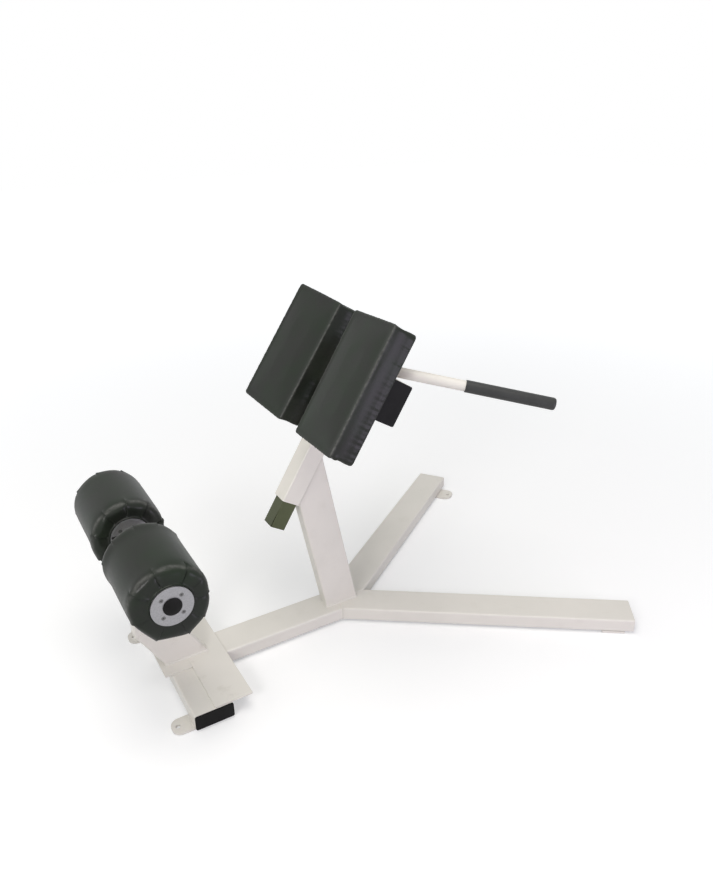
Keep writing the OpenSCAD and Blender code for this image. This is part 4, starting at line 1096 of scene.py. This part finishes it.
# %% Staples
STAPLE_W, STAPLE_R, STAPLE_EVERY = 10.0, 0.45, 7
for name, side in SIDES.items():
    line, outward = pad_outline(FOLD_W / 2, 8)
    rng = np.random.default_rng(31 + side)
    chosen = np.arange(3, len(line), STAPLE_EVERY)
    skew = rng.normal(0, 0.07, len(chosen))
    along = np.column_stack([-outward[chosen, 1] + skew * outward[chosen, 0],
                             outward[chosen, 0] + skew * outward[chosen, 1]])
    middle = line[chosen] + rng.normal(0, 0.8, (len(chosen), 2))
    ends = [np.column_stack([np.full(len(chosen), PLAY + SKIN + 0.4), middle + t * along])
            for t in (-STAPLE_W / 2, STAPLE_W / 2)]
    runs = [([a, b], STAPLE_R) for a, b in zip(*ends)]
    bead_piece(f"{name}_pad_staples", "carriage", lambda p, side=side: pad_mm(p, side), runs,
               zinc, step=2.5)

# %% [markdown]
# ## Floor and light
#
# A pale floor takes the bench's soft shadow. A big warm lamp overhead stands for the ceiling lights
# of a gym. A low one in front is faintly violet, which gives the near faces of the white tubes
# their lavender next to ivory tops. A weak one fills from the left, and a small one draws the
# light lines along the edges of the vinyl. The world is white to the camera and in reflections,
# and a plain lower level to the object. The floor is shaded as a pale floor is, and has a glow
# that only the camera and reflections see. The glow grows with the distance from the bench, where
# the lamps reach the floor less: it lifts the open floor to white and leaves the shadow near the
# bench.


# %% Floor
def seen_directly(tree):
    """1 for a ray from the camera, from a reflection or through a clear piece, and 0 for the
    light that falls on the object."""
    path = add_node(tree, "ShaderNodeLightPath").outputs
    seen = combined(tree, "MAXIMUM", path["Is Camera Ray"], path["Is Glossy Ray"])
    return combined(tree, "MAXIMUM", seen, path["Is Transmission Ray"])


# Distances from the bench's middle between which the glow grows, first fast, then slowly
NEAR_BENCH, LAMPS_REACH, GLOW_END = 0.4, 3.4, 7.0
FLOOR_HALF, FLOOR_Z = 12.0, -0.001

floor_mat, tree, shader = new_material("floor", (0.76, 0.76, 0.76), 0.9, Specular_IOR_Level=0.0)
glow = add_node(tree, "ShaderNodeEmission", Color=(0.95, 0.97, 1.0, 1))
from_bench = add_node(tree, "ShaderNodeVectorMath", operation="LENGTH")
tree.links.new(object_place(tree), from_bench.inputs[0])
distance = from_bench.outputs["Value"]
strength = combined(tree, "ADD", spread(tree, distance, 0.30, 0.68, NEAR_BENCH, LAMPS_REACH),
                    spread(tree, distance, 0.0, 0.14, LAMPS_REACH, GLOW_END))
feed(tree, glow, Strength=combined(tree, "MULTIPLY", strength, seen_directly(tree)))
both = add_node(tree, "ShaderNodeAddShader")
tree.links.new(shader.outputs[0], both.inputs[0])
tree.links.new(glow.outputs[0], both.inputs[1])
feed(tree, tree.nodes["Material Output"], Surface=both.outputs[0])

floor_corners = np.array([[-1, -1], [1, -1], [1, 1], [-1, 1]]) * FLOOR_HALF
floor = mesh_object("floor", np.column_stack([floor_corners, np.full(4, FLOOR_Z)]), [[0, 1, 2, 3]],
                    smooth=False)
dress(floor, floor_mat)

# %% World and lamps
AMBIENT = 0.38
world = bpy.data.worlds.new("studio")
bpy.context.scene.world = world
world.use_nodes = True
tree = world.node_tree
sky = tree.nodes["Background"]
sky.inputs["Color"].default_value = (1, 1, 1, 1)
feed(tree, sky, Strength=spread(tree, seen_directly(tree), AMBIENT, 1.0))


def lamp(name, at, aim, size, power, colour):
    """A square area lamp at a place, turned to a point."""
    data = bpy.data.lights.new(name, "AREA")
    data.shape, data.size, data.energy, data.color = "SQUARE", size, power, colour
    made = add_object(name, data)
    made.location = at
    made.rotation_euler = (Vector(aim) - Vector(at)).to_track_quat("-Z", "Y").to_euler()


lamp("ceiling", (-0.6, -0.5, 3.4), (0, 0, 0.3), 2.2, 54, (1.0, 0.975, 0.91))
lamp("low_fill", (0.85, -2.3, 0.45), (-0.1, -0.1, 0.7), 0.9, 11, (0.86, 0.74, 1.0))
lamp("left_fill", (-3.4, 0.4, 1.8), (0, 0, 0.5), 1.8, 6, (1.0, 0.98, 0.94))
lamp("edge_light", (-2.5, -2.0, 2.0), (-0.3, -0.2, 0.6), 0.8, 28, (1.0, 0.97, 0.98))

view = bpy.context.scene.view_settings
view.view_transform = "Standard"
